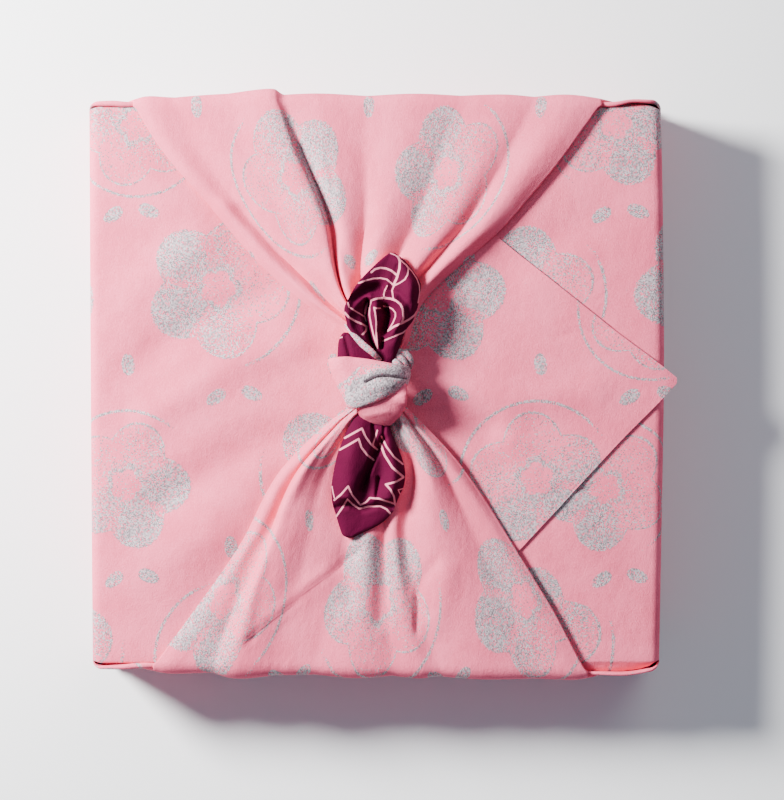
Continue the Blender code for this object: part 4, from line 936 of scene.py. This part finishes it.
def add_end_sheet(cloth, sheet):
    """One end sheet from the floor over its wall and the face into the knot, its edges folded under."""
    y, z, out_y, out_z, run, on_face = end_rows()
    top_z = END_FACE_Z - END_UPPER_BEND
    climb = np.where(on_face, 1.0, np.clip((z - UNDERSIDE_Z) / (top_z - UNDERSIDE_Z), 0.0, 1.0))
    floor_half = WALL_X - LOWER_BEND
    edge_at = np.where(on_face, y, FACE_EDGE_Y)
    left = -floor_half + (along(sheet.left_edge, edge_at) + floor_half) * climb
    right = floor_half + (along(sheet.right_edge, edge_at) - floor_half) * climb
    half = len(sheet.folds) - 1
    columns = np.linspace(0.0, half, half * COLUMNS_PER_FOLD + 1)
    lines = np.stack([along(tuple(zip(FOLDS_AT, fold.across)), run) for fold in sheet.folds])
    lifts = np.stack([along(tuple(zip(FOLDS_AT, fold.lift)), run) for fold in sheet.folds])
    across = through(lines, columns).T
    lift = folded(lifts, columns).T * FOLD_SCALE
    even = np.linspace(0.0, 1.0, len(columns))[None]
    across = even + (across - even) * climb[:, None]
    pleats = PLEAT_HEIGHT * smooth((run - PLEATS_FROM) / PLEATS_RISE)[:, None]
    lift = lift + pleats * np.sin(math.tau * PLEATS * across + PLEAT_SWAY * np.sin(PLEAT_SWAYS * across))
    lift *= np.where(on_face, 1.0, wall_rise(z))[:, None]
    fade = np.where(on_face, 1.0 - smooth(run / WALL_OUT_FADES_BY), wall_rise(z))
    rise = KNOT_LIFT * smooth((run - KNOT_LIFT_FROM) / (1.0 - KNOT_LIFT_FROM))
    lies = np.where(on_face, 1.0, 0.0)

    def surface(x, lift):
        placed_y = sheet.end * (y[:, None] + along(sheet.wall_out, x) * fade[:, None] + out_y[:, None] * lift)
        lie = face_lie(x, placed_y) + relief(sheet.creases, x, placed_y)
        placed_z = (z + rise)[:, None] + lies[:, None] * lie + out_z[:, None] * lift
        return grid_of(x, placed_y, placed_z)

    x = left[:, None] + (right - left)[:, None] * across
    v = CORNER_Y + lengths_along(np.stack([y, z], 1))
    flat_half = np.where(on_face, GATHERED_HALF + (floor_half - GATHERED_HALF) * (1.0 - run), floor_half)
    stretch = (2.0 * flat_half / (right - left))[:, None]
    u = (x - ((left + right) / 2)[:, None]) * stretch
    flat = grid_of(u, sheet.end * v[:, None], 0.0)[..., :2]
    cloth.add(surface(x, lift), flat, flip=sheet.end > 0)

    # Both its edges, turned under
    shown = np.where(on_face, 1.0, smooth((z - FOLD_UNDER_FROM_Z) / FOLD_UNDER_RISE))
    turn = np.radians(np.linspace(0, 180, HEM_TURN_STEPS))
    inward = np.linspace(0.0, 1.0, HEM_STEPS + 1)[1:]
    for side, edge, edge_lift, edge_u in ((-1, left, lift[:, 0], u[:, 0]), (1, right, lift[:, -1], u[:, -1])):
        radius = (FOLD_RADIUS * shown)[:, None]
        width = (FOLD_UNDER_SHARE * (right - left) * shown)[:, None]
        hem_x = np.concatenate([
            edge[:, None] + side * radius * np.sin(turn)[None],
            edge[:, None] - side * width * inward[None],
        ], 1)
        sunk = np.concatenate([radius * (1 - np.cos(turn))[None], 2 * radius * np.ones(HEM_STEPS)[None]], 1)
        lie = np.concatenate([np.broadcast_to(edge_lift[:, None], (len(y), len(turn))),
                              edge_lift[:, None] * (1 - inward)[None]], 1)
        hem = surface(hem_x, lie - sunk)
        hem[:, 0] = surface(edge[:, None], edge_lift[:, None])[:, 0]
        away = np.concatenate([FOLD_RADIUS * turn[None] * np.ones((len(y), 1)),
                               FOLD_RADIUS * math.pi + width * inward[None]], 1)
        hem_flat = grid_of(edge_u[:, None] + side * away, sheet.end * v[:, None], 0.0)[..., :2]
        cloth.add(hem, hem_flat, flip=side * sheet.end > 0)


def band(name, table, creases, silver):
    """A flattened roll of cloth along the table's rings, with creases pressed into its upper side."""
    steps = np.linspace(0.0, len(table) - 1, (len(table) - 1) * RINGS_PER_STEP + 1)
    centre = through([(r.x, r.y, r.z) for r in table], steps)
    turn = np.radians(through([r.turn for r in table], steps))
    width = through([r.width for r in table], steps) / 2
    thick = through([r.thick for r in table], steps) / 2
    run = np.gradient(centre, axis=0)
    run /= np.linalg.norm(run, axis=1, keepdims=True)
    wide = np.stack([np.sin(turn), np.cos(turn), 0 * turn], 1)
    wide -= run * (run * wide).sum(1, keepdims=True)
    wide /= np.linalg.norm(wide, axis=1, keepdims=True)
    up = np.cross(run, wide)
    a = math.tau * np.arange(RING_SIDES + 1) / RING_SIDES
    flatness = np.sign(np.sin(a)) * np.abs(np.sin(a)) ** RING_FLATNESS
    points = (
        centre[:, None]
        + wide[:, None] * (width[:, None] * np.cos(a)[None])[..., None]
        + up[:, None] * (thick[:, None] * flatness[None])[..., None]
    )
    outward = points - centre[:, None]
    facing_up = smooth(outward[..., 2] / thick[:, None] + CREASED_BELOW_RIM)
    points[..., 2] += relief(creases, points[..., 0], points[..., 1]) * facing_up
    points[:, -1] = points[:, 0]
    far = lengths_along(centre)
    round_it = (a / math.tau - 0.5)[None] * (2 * math.pi * np.sqrt((width**2 + thick**2) / 2))[:, None]
    flat = grid_of(far[:, None], round_it, 0.0)[..., :2]
    cloth = Cloth()
    printed = relief(silver, points[..., 0], points[..., 1])
    cloth.add(points, flat, marks=np.where(printed > FAINTEST_PRINT, printed, NO_PRINT))
    for row, flip in ((0, False), (-1, True)):
        middle = np.repeat(points[row].mean(0)[None], RING_SIDES + 1, 0)
        ends = np.repeat(flat[row][None], 2, 0)
        cloth.add(np.stack([middle, points[row]]), ends, flip)
    return cloth.as_object(name, both_sides())


def leaf(name, table, creases, lines):
    """A tail: a leaf of folded cloth with rounded edges, dented and swollen by its creases. Its plum side is
    up and its pink side down."""
    steps = np.linspace(0.0, len(table) - 1, LEAF_ROWS)
    y = through([row.y for row in table], steps)
    left = through([row.left for row in table], steps)
    right = through([row.right for row in table], steps)
    heights = through([row.heights for row in table], steps)
    over = 0.5 - 0.5 * np.cos(np.linspace(0.0, math.pi, LEAF_COLUMNS))
    under = 0.5 - 0.5 * np.cos(np.linspace(math.pi, 0.0, LEAF_UNDER_COLUMNS))
    ends = smooth(np.minimum(steps, len(table) - 1 - steps) / LEAF_END_RUN)[:, None]

    def surface(across, side):
        x = left[:, None] + (right - left)[:, None] * across[None]
        placed_y = np.broadcast_to(y[:, None], x.shape)
        z = np.stack([along(tuple(zip(LEAF_ACROSS, row)), across) for row in heights])
        rounded = np.sqrt(np.maximum(0.0, 1.0 - (2 * across - 1) ** LEAF_SQUARENESS))[None] * ends
        top = z + (relief(creases, x, placed_y) + LEAF_THICKNESS / 2) * rounded
        if side > 0:
            return grid_of(x, placed_y, top)
        base = z - (LEAF_DEPTH + LEAF_THICKNESS / 2) * rounded
        return grid_of(x, placed_y, np.minimum(base, top - LEAF_THICKNESS * rounded))

    top, bottom = surface(over, 1), surface(under, -1)
    bottom[:, 0], bottom[:, -1] = top[:, -1], top[:, 0]
    near = np.zeros(top.shape[:2])
    for line in lines:
        off = from_crease(line.points, top[..., 0], top[..., 1]) / (LINE_REACH * line.half)
        near = np.maximum(near, 1.0 - off)
    cloth = Cloth()
    for part, marks, side in ((top, near, 0), (bottom, None, 1)):
        cloth.add(part, part[..., :2], flip=True, marks=marks, side=side)
    places = np.concatenate([top, bottom[:, 1:]], 1)
    for row, flip in ((0, True), (-1, False)):
        middle = np.repeat(places[row].mean(0)[None], places.shape[1], 0)
        cloth.add(np.stack([middle, places[row]]), np.zeros((2, places.shape[1], 2)), flip)
    return cloth.as_object(name, (tail_cotton(), both_sides()[0]))


class Weave:
    """The nodes of one cloth material, with short calls for its sums."""

    def __init__(self, name):
        self.material = bpy.data.materials.new(name)
        self.material.use_nodes = True
        self.tree = self.material.node_tree
        self.shader = self.tree.nodes["Principled BSDF"]
        self.place = self.new("ShaderNodeUVMap", 0, uv_map=FLAT_MAP)

    def new(self, kind, output, inputs=(), **settings):
        """The numbered output of a new node with these inputs and settings."""
        node = self.tree.nodes.new(kind)
        for setting, value in settings.items():
            setattr(node, setting, value)
        for socket, value in dict(inputs).items():
            self.put(node.inputs[socket], value)
        return node.outputs[output]

    def put(self, socket, value):
        """Another node's output or a plain value, into a socket."""
        if isinstance(value, bpy.types.NodeSocket):
            self.tree.links.new(value, socket)
        else:
            socket.default_value = value

    def sum(self, operation, *values):
        """Any one calculation on numbers."""
        return self.new("ShaderNodeMath", 0, enumerate(values), operation=operation)

    def plus(self, first, second):
        return self.sum("ADD", first, second)

    def minus(self, first, second):
        return self.sum("SUBTRACT", first, second)

    def times(self, first, second):
        return self.sum("MULTIPLY", first, second)

    def most(self, first, second):
        return self.sum("MAXIMUM", first, second)

    def squares(self, x, y):
        return self.plus(self.sum("POWER", x, 2.0), self.sum("POWER", y, 2.0))

    def far(self, x, y):
        return self.sum("SQRT", self.squares(x, y))

    def centred(self, value, period):
        """The value's place in its period, from half below zero to half above."""
        return self.minus(self.sum("FLOORED_MODULO", self.plus(value, period / 2), period), period / 2)

    def vector(self, operation, *values):
        return self.new("ShaderNodeVectorMath", 0, enumerate(values), operation=operation)

    def parts(self, vector):
        """The vector's three parts."""
        node = self.tree.nodes.new("ShaderNodeSeparateXYZ")
        self.tree.links.new(vector, node.inputs[0])
        return node.outputs

    def joined(self, x, y):
        return self.new("ShaderNodeCombineXYZ", 0, {0: x, 1: y})

    def step(self, value, low, high, from_value=0.0, to_value=1.0):
        """A smooth step from one value to the other between low and high."""
        inputs = {0: value, 1: low, 2: high, 3: from_value, 4: to_value}
        return self.new("ShaderNodeMapRange", 0, inputs, interpolation_type="SMOOTHSTEP")

    def mix(self, share, first, second):
        """The first colour, and by its share the second."""
        return self.new("ShaderNodeMix", 2, {0: share, 6: first, 7: second}, data_type="RGBA")

    def random(self, vector, output=0):
        return self.new("ShaderNodeTexWhiteNoise", output, {0: vector}, noise_dimensions="2D")

    def noise(self, scale, detail, roughness):
        inputs = {"Vector": self.place, "Scale": scale, "Detail": detail, "Roughness": roughness}
        return self.new("ShaderNodeTexNoise", 0, inputs, noise_dimensions="2D")

    def near(self, value, centre, half):
        """1 where the value is within half of the centre, with soft sides."""
        off = self.sum("ABSOLUTE", self.minus(value, centre))
        return self.step(off, half * (1.0 + SOFT_SIDE), half * (1.0 - SOFT_SIDE))


def blossom_cover(weave):
    """How thickly the silver lies: blossoms on a staggered lattice, and three drops between them."""
    width, height = LATTICE
    x, y = weave.parts(weave.place)[:2]
    row = weave.sum("FLOOR", weave.sum("DIVIDE", y, height))
    moved = weave.plus(x, weave.times(weave.sum("FLOORED_MODULO", row, 2.0), width / 2))
    column = weave.sum("FLOOR", weave.sum("DIVIDE", moved, width))
    first, second, third = weave.parts(weave.random(weave.joined(column, row), 1))[:3]
    wander_x = weave.times(weave.minus(first, 0.5), BLOSSOM_WANDER)
    wander_y = weave.times(weave.minus(second, 0.5), BLOSSOM_WANDER)
    across = weave.minus(weave.minus(moved, weave.times(weave.plus(column, 0.5), width)), wander_x)
    up = weave.minus(weave.minus(y, weave.times(weave.plus(row, 0.5), height)), wander_y)
    far = weave.far(across, up)
    turn = weave.plus(weave.sum("ARCTAN2", up, across), weave.times(third, math.tau))
    size = weave.plus(weave.times(second, BLOSSOM_RADIUS[1]), BLOSSOM_RADIUS[0])
    scallop = weave.sum("ABSOLUTE", weave.sum("COSINE", weave.times(turn, PETALS / 2)))
    edge = weave.times(size, weave.plus(weave.times(scallop, PETAL_DEPTH), 1.0 - PETAL_DEPTH))
    share = weave.sum("DIVIDE", far, edge)
    # The silver is thickest towards one side of each blossom
    lean_x = weave.sum("COSINE", weave.times(first, math.tau))
    lean_y = weave.sum("SINE", weave.times(first, math.tau))
    towards = weave.plus(weave.times(across, lean_x), weave.times(up, lean_y))
    towards = weave.sum("DIVIDE", towards, size)
    fill = weave.step(towards, *FILL_ACROSS, *FILL_LEVELS)
    petals = weave.near(weave.sum("FRACT", weave.times(turn, PETALS / 2 / math.pi)), 0.5, VEIN_HALF)
    veins = weave.times(petals, weave.step(share, *VEINS_FROM, 0.0, VEIN_LEVEL))
    heart = weave.step(share, *HEART_EDGE, 0.0, HEART_LEVEL)
    fill = weave.times(fill, weave.minus(1.0, weave.most(veins, heart)))
    fill = weave.most(fill, weave.times(weave.near(share, *HEART_RING), HEART_RING_LEVEL))
    fill = weave.most(fill, weave.times(weave.near(share, *OUTLINE), LINE_LEVEL))
    fill = weave.times(fill, weave.step(share, *BLOSSOM_EDGE))
    outer = weave.near(weave.sum("DIVIDE", far, size), *OUTER_RING)
    outer = weave.times(weave.times(outer, weave.step(towards, *OUTER_RING_ACROSS)), LINE_LEVEL)
    # Three drops round the point where the cells meet
    drop_x, drop_y = weave.centred(moved, width), weave.centred(y, height)
    drop_far = weave.far(drop_x, drop_y)
    drop_turn = weave.times(weave.sum("ARCTAN2", drop_y, drop_x), DROPS / math.tau)
    off = weave.minus(weave.sum("FRACT", weave.plus(drop_turn, DROP_TURN)), 0.5)
    off = weave.times(weave.times(off, math.tau / DROPS), drop_far)
    long_way = weave.sum("DIVIDE", weave.minus(drop_far, DROP_RING), DROP_SIZE[0])
    short_way = weave.sum("DIVIDE", off, DROP_SIZE[1])
    drops = weave.times(weave.step(weave.squares(long_way, short_way), *DROP_EDGE), LINE_LEVEL)
    return weave.most(weave.most(fill, outer), drops)


def printed_cotton(colours):
    """Pink cotton, silver grains printed on it in blossoms."""
    weave = Weave("pink_cotton_print")
    marks = weave.new("ShaderNodeAttribute", 2, attribute_name=PRINT_MARKS)
    blossoms = weave.times(blossom_cover(weave), weave.sum("GREATER_THAN", marks, NO_PRINT / 2))
    cover = weave.most(blossoms, weave.sum("MINIMUM", marks, THICKEST_PRINT))
    grain_at = weave.vector("SNAP", weave.place, (GRAIN, GRAIN, GRAIN))
    grain = weave.random(weave.vector("MULTIPLY", grain_at, GRAIN_SPREAD))
    silver = weave.step(weave.minus(cover, grain), *GRAIN_EDGE)
    shine = weave.random(weave.vector("ADD", grain_at, SHINE_MOVED))
    fine = weave.minus(weave.noise(*FINE_MOTTLE), 0.5)
    mottle = weave.plus(weave.noise(*SOFT_MOTTLE), weave.times(fine, FINE_SHARE))
    mottle = weave.step(mottle, *MOTTLE_RANGE)
    cotton = weave.mix(mottle, (*colours.pink_shade, 1.0), (*colours.pink, 1.0))
    glint = weave.mix(shine, (*colours.silver_shade, 1.0), (*colours.silver, 1.0))
    roughness = weave.step(silver, 0.0, 1.0, PINK_ROUGHNESS, SILVER_ROUGHNESS)
    weave.put(weave.shader.inputs["Base Color"], weave.mix(silver, cotton, glint))
    weave.put(weave.shader.inputs["Roughness"], roughness)
    weave.put(weave.shader.inputs["Metallic"], weave.step(silver, 0.0, 1.0, 0.0, SILVER_METALLIC))
    finish_weave(weave, colours.pink, silver)
    return weave.material


def finish_weave(weave, tint, raised):
    """The thread's soft sheen and fine unevenness, the same on both sides of the cloth."""
    height = weave.plus(weave.noise(*YARN), weave.times(weave.noise(*SLUBS), SLUB_SHARE))
    height = weave.plus(height, weave.times(raised, RAISED_SHARE))
    inputs = {"Height": height, "Strength": BUMP_STRENGTH, "Distance": BUMP_DISTANCE}
    weave.put(weave.shader.inputs["Normal"], weave.new("ShaderNodeBump", 0, inputs))
    weave.shader.inputs["Sheen Weight"].default_value = SHEEN
    weave.shader.inputs["Sheen Roughness"].default_value = SHEEN_ROUGHNESS
    weave.shader.inputs["Sheen Tint"].default_value = (*tint, 1.0)
    weave.shader.inputs["Specular IOR Level"].default_value = SPECULAR


def plum_cotton(colours):
    """The reverse: plum cotton with scallops in pairs of pale lines."""
    weave = Weave("plum_cotton_reverse")
    x, y = weave.parts(weave.place)[:2]
    half = SCALLOP_WIDTH / 2
    radius = (half**2 + SCALLOP_HEIGHT**2) / (2 * SCALLOP_HEIGHT)
    row = weave.sum("FLOOR", weave.sum("DIVIDE", y, SCALLOP_ROW))
    shift = weave.times(weave.sum("FLOORED_MODULO", row, 2.0), 0.5)
    turns = weave.plus(weave.sum("DIVIDE", x, SCALLOP_WIDTH), shift)
    off_x = weave.times(weave.minus(weave.sum("FRACT", turns), 0.5), SCALLOP_WIDTH)
    local_y = weave.minus(y, weave.times(row, SCALLOP_ROW))
    # Far from each arc's centre, so that a line keeps its width all along
    both = []
    for base, line in ((2 * INNER_LINE, INNER_LINE), (2 * INNER_LINE + LINES_APART, OUTER_LINE)):
        off_y = weave.minus(local_y, base + SCALLOP_HEIGHT - radius)
        both.append(weave.near(weave.far(off_x, off_y), radius, line))
    dye_plum(weave, colours, weave.most(*both))
    return weave.material


def tail_cotton():
    """The reverse as it lies folded in the tails, where the lines are placed one by one. Made once."""
    made = bpy.data.materials.get("plum_cotton_tails")
    if made:
        return made
    weave = Weave("plum_cotton_tails")
    marks = weave.new("ShaderNodeAttribute", 2, attribute_name=PRINT_MARKS)
    edge = 1.0 - 1.0 / LINE_REACH
    lines = weave.step(marks, edge - LINE_SOFTNESS, edge + LINE_SOFTNESS)
    dye_plum(weave, bpy.context.scene.furoshiki_colours, lines)
    return weave.material


def dye_plum(weave, colours, lines):
    """Plum with the given lines left pale."""
    plum = weave.mix(weave.noise(*PLUM_MOTTLE), (*colours.plum_shade, 1.0), (*colours.plum, 1.0))
    weave.put(weave.shader.inputs["Base Color"], weave.mix(lines, plum, (*colours.line, 1.0)))
    weave.shader.inputs["Roughness"].default_value = PLUM_ROUGHNESS
    finish_weave(weave, colours.plum, lines)


class FuroshikiSizes(bpy.types.PropertyGroup):
    """Sizes a user may change."""

    cloth_thickness: FloatProperty(
        name="Cloth thickness", description="How thick the cotton is", default=0.0005,
        min=0.0002, max=0.0007, unit="LENGTH", subtype="DISTANCE",
    )
    camera_lens: FloatProperty(
        name="Lens", description="Focal length of the camera above the parcel", default=LENS_MM,
        min=35.0, max=300.0, subtype="DISTANCE_CAMERA",
    )


class FuroshikiColours(bpy.types.PropertyGroup):
    """Colours of both sides of the cloth and of the light."""

    pink: FloatVectorProperty(
        name="Pink", description="Printed face", default=(0.87, 0.160, 0.254),
        subtype="COLOR", min=0.0, max=1.0,
    )
    pink_shade: FloatVectorProperty(
        name="Pink shade", description="Its darker mottling", default=(0.77, 0.122, 0.204),
        subtype="COLOR", min=0.0, max=1.0,
    )
    silver: FloatVectorProperty(
        name="Silver", description="Bright grains of the print", default=(0.56, 0.47, 0.50),
        subtype="COLOR", min=0.0, max=1.0,
    )
    silver_shade: FloatVectorProperty(
        name="Silver shade", description="Dull grains of the print", default=(0.165, 0.125, 0.140),
        subtype="COLOR", min=0.0, max=1.0,
    )
    plum: FloatVectorProperty(
        name="Plum", description="Reverse", default=(0.078, 0.0004, 0.022),
        subtype="COLOR", min=0.0, max=1.0,
    )
    plum_shade: FloatVectorProperty(
        name="Plum shade", description="Its darker mottling", default=(0.052, 0.0003, 0.014),
        subtype="COLOR", min=0.0, max=1.0,
    )
    line: FloatVectorProperty(
        name="Line", description="Scallop lines on the reverse", default=(0.66, 0.20, 0.26),
        subtype="COLOR", min=0.0, max=1.0,
    )
    light: FloatProperty(
        name="Light", description="Strength of the large light at the left", default=47.0,
        min=0.0, max=500.0, unit="POWER",
    )
    air: FloatProperty(
        name="Air", description="Strength of the light from all round", default=0.27, min=0.0, max=5.0,
    )


def both_sides():
    """The cloth's two materials, face first, made once."""
    colours = bpy.context.scene.furoshiki_colours
    face = bpy.data.materials.get("pink_cotton_print") or printed_cotton(colours)
    reverse = bpy.data.materials.get("plum_cotton_reverse") or plum_cotton(colours)
    return face, reverse


class FUROSHIKI_OT_drape(bpy.types.Operator):
    """Fold the cloth round the flat square shape, up to where it runs into the knot"""

    bl_idname = "furoshiki.drape"
    bl_label = "Drape the cloth"

    def execute(self, context):
        sizes = context.scene.furoshiki_sizes
        cloth = Cloth()
        add_side_to_side(cloth)
        for sheet in END_SHEETS:
            add_end_sheet(cloth, sheet)
        draped = cloth.as_object("draped_cloth", both_sides(), sizes.cloth_thickness)
        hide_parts(NODE)
        return {"FINISHED"}


class FUROSHIKI_OT_tie(bpy.types.Operator):
    """Tie the two ends: the bands of cloth in the knot and the folds that show beside it"""

    bl_idname = "furoshiki.tie"
    bl_label = "Tie the knot"

    def execute(self, context):
        for each in KNOT_BANDS:
            band(each.name, each.rings, each.creases, each.silver)
        leaf("knot_side_leaf", SIDE_LEAF, SIDE_LEAF_CREASES, SIDE_LEAF_LINES)
        return {"FINISHED"}


class FUROSHIKI_OT_tails(bpy.types.Operator):
    """Shape the cloth's two free corners as leaves above and below the knot"""

    bl_idname = "furoshiki.tails"
    bl_label = "Shape the tails"

    def execute(self, context):
        leaf("upper_tail", UPPER_TAIL, UPPER_TAIL_CREASES, UPPER_TAIL_LINES)
        leaf("lower_tail", LOWER_TAIL, LOWER_TAIL_CREASES, LOWER_TAIL_LINES)
        return {"FINISHED"}


class FUROSHIKI_OT_declare(bpy.types.Operator):
    """Does nothing: the pieces are not declared here as one square cloth of a given flat size"""

    bl_idname = "furoshiki.declare"
    bl_label = "Declare the cloth"

    def execute(self, context):
        return {"FINISHED"}


def plain_material(name, colour, roughness):
    """One even colour."""
    material = bpy.data.materials.new(name)
    material.use_nodes = True
    shader = material.node_tree.nodes["Principled BSDF"]
    shader.inputs["Base Color"].default_value = (*colour, 1.0)
    shader.inputs["Roughness"].default_value = roughness
    return material


def hang_lamp(lamp, power):
    """A round, soft lamp turned towards the parcel."""
    light = bpy.data.lights.new(lamp.name, "AREA")
    light.shape = "DISK"
    light.size = lamp.size
    light.energy = power
    holder = bpy.data.objects.new(lamp.name, light)
    holder.location = lamp.place
    holder.rotation_mode = "QUATERNION"
    holder.rotation_quaternion = (Vector(LAMPS_AIM) - Vector(lamp.place)).to_track_quat("-Z", "Y")
    bpy.context.scene.collection.objects.link(holder)


class FUROSHIKI_OT_stage(bpy.types.Operator):
    """Set a pale floor, soft light from the left and a camera straight above"""

    bl_idname = "furoshiki.stage"
    bl_label = "Set the stage"

    def execute(self, context):
        scene = context.scene
        colours = scene.furoshiki_colours
        mesh = bpy.data.meshes.new("floor")
        corners = [(x * FLOOR_HALF, y * FLOOR_HALF, FLOOR_Z) for x, y in ((-1, -1), (1, -1), (1, 1), (-1, 1))]
        mesh.from_pydata(corners, [], [(0, 1, 2, 3)])
        mesh.materials.append(plain_material("pale_floor", FLOOR_COLOUR, FLOOR_ROUGHNESS))
        floor = bpy.data.objects.new("floor", mesh)
        scene.collection.objects.link(floor)
        for lamp in LAMPS:
            hang_lamp(lamp, colours.light * lamp.share)
        world = bpy.data.worlds.new("soft_air")
        world.use_nodes = True
        air = world.node_tree.nodes["Background"]
        air.inputs["Color"].default_value = (*AIR_COLOUR, 1.0)
        air.inputs["Strength"].default_value = colours.air
        scene.world = world
        camera = bpy.data.cameras.new("camera_above")
        camera.lens = scene.furoshiki_sizes.camera_lens
        camera.sensor_width = SENSOR_MM
        camera.clip_start = NEAREST_SEEN
        holder = bpy.data.objects.new("camera_above", camera)
        scene.collection.objects.link(holder)
        across = max(PHOTO_SIZE) * METRES_PER_PIXEL
        off_x = (PHOTO_SIZE[0] / 2 - PARCEL_CENTRE_PIXEL[0]) * METRES_PER_PIXEL
        off_y = (PARCEL_CENTRE_PIXEL[1] - PHOTO_SIZE[1] / 2) * METRES_PER_PIXEL
        holder.location = (off_x, off_y, LEFT_FACE_Z + across * camera.lens / SENSOR_MM)
        scene.camera = holder
        return {"FINISHED"}


OPERATORS = (
    FUROSHIKI_OT_drape,
    FUROSHIKI_OT_tie,
    FUROSHIKI_OT_tails,
    FUROSHIKI_OT_declare,
    FUROSHIKI_OT_stage,
)


class FUROSHIKI_PT_panel(bpy.types.Panel):
    """Lists the sizes, the colours and the steps"""

    bl_idname = "FUROSHIKI_PT_panel"
    bl_label = "Furoshiki wrap"
    bl_space_type = "VIEW_3D"
    bl_region_type = "UI"
    bl_category = "Furoshiki"

    def draw(self, context):
        column = self.layout.column()
        for group in (context.scene.furoshiki_sizes, context.scene.furoshiki_colours):
            for name in group.bl_rna.properties.keys():
                if name not in {"rna_type", "name"}:
                    column.prop(group, name)
        for operator in OPERATORS:
            column.operator(operator.bl_idname)


CLASSES = (FuroshikiSizes, FuroshikiColours, *OPERATORS, FUROSHIKI_PT_panel)


def register():
    for each in CLASSES:
        bpy.utils.register_class(each)
    bpy.types.Scene.furoshiki_sizes = PointerProperty(type=FuroshikiSizes)
    bpy.types.Scene.furoshiki_colours = PointerProperty(type=FuroshikiColours)


def unregister():
    del bpy.types.Scene.furoshiki_sizes
    del bpy.types.Scene.furoshiki_colours
    for each in reversed(CLASSES):
        bpy.utils.unregister_class(each)


def main():
    register()
    bpy.ops.furoshiki.drape()
    bpy.ops.furoshiki.tie()
    bpy.ops.furoshiki.tails()
    bpy.ops.furoshiki.declare()
    bpy.ops.furoshiki.stage()


if __name__ == "__main__":
    main()
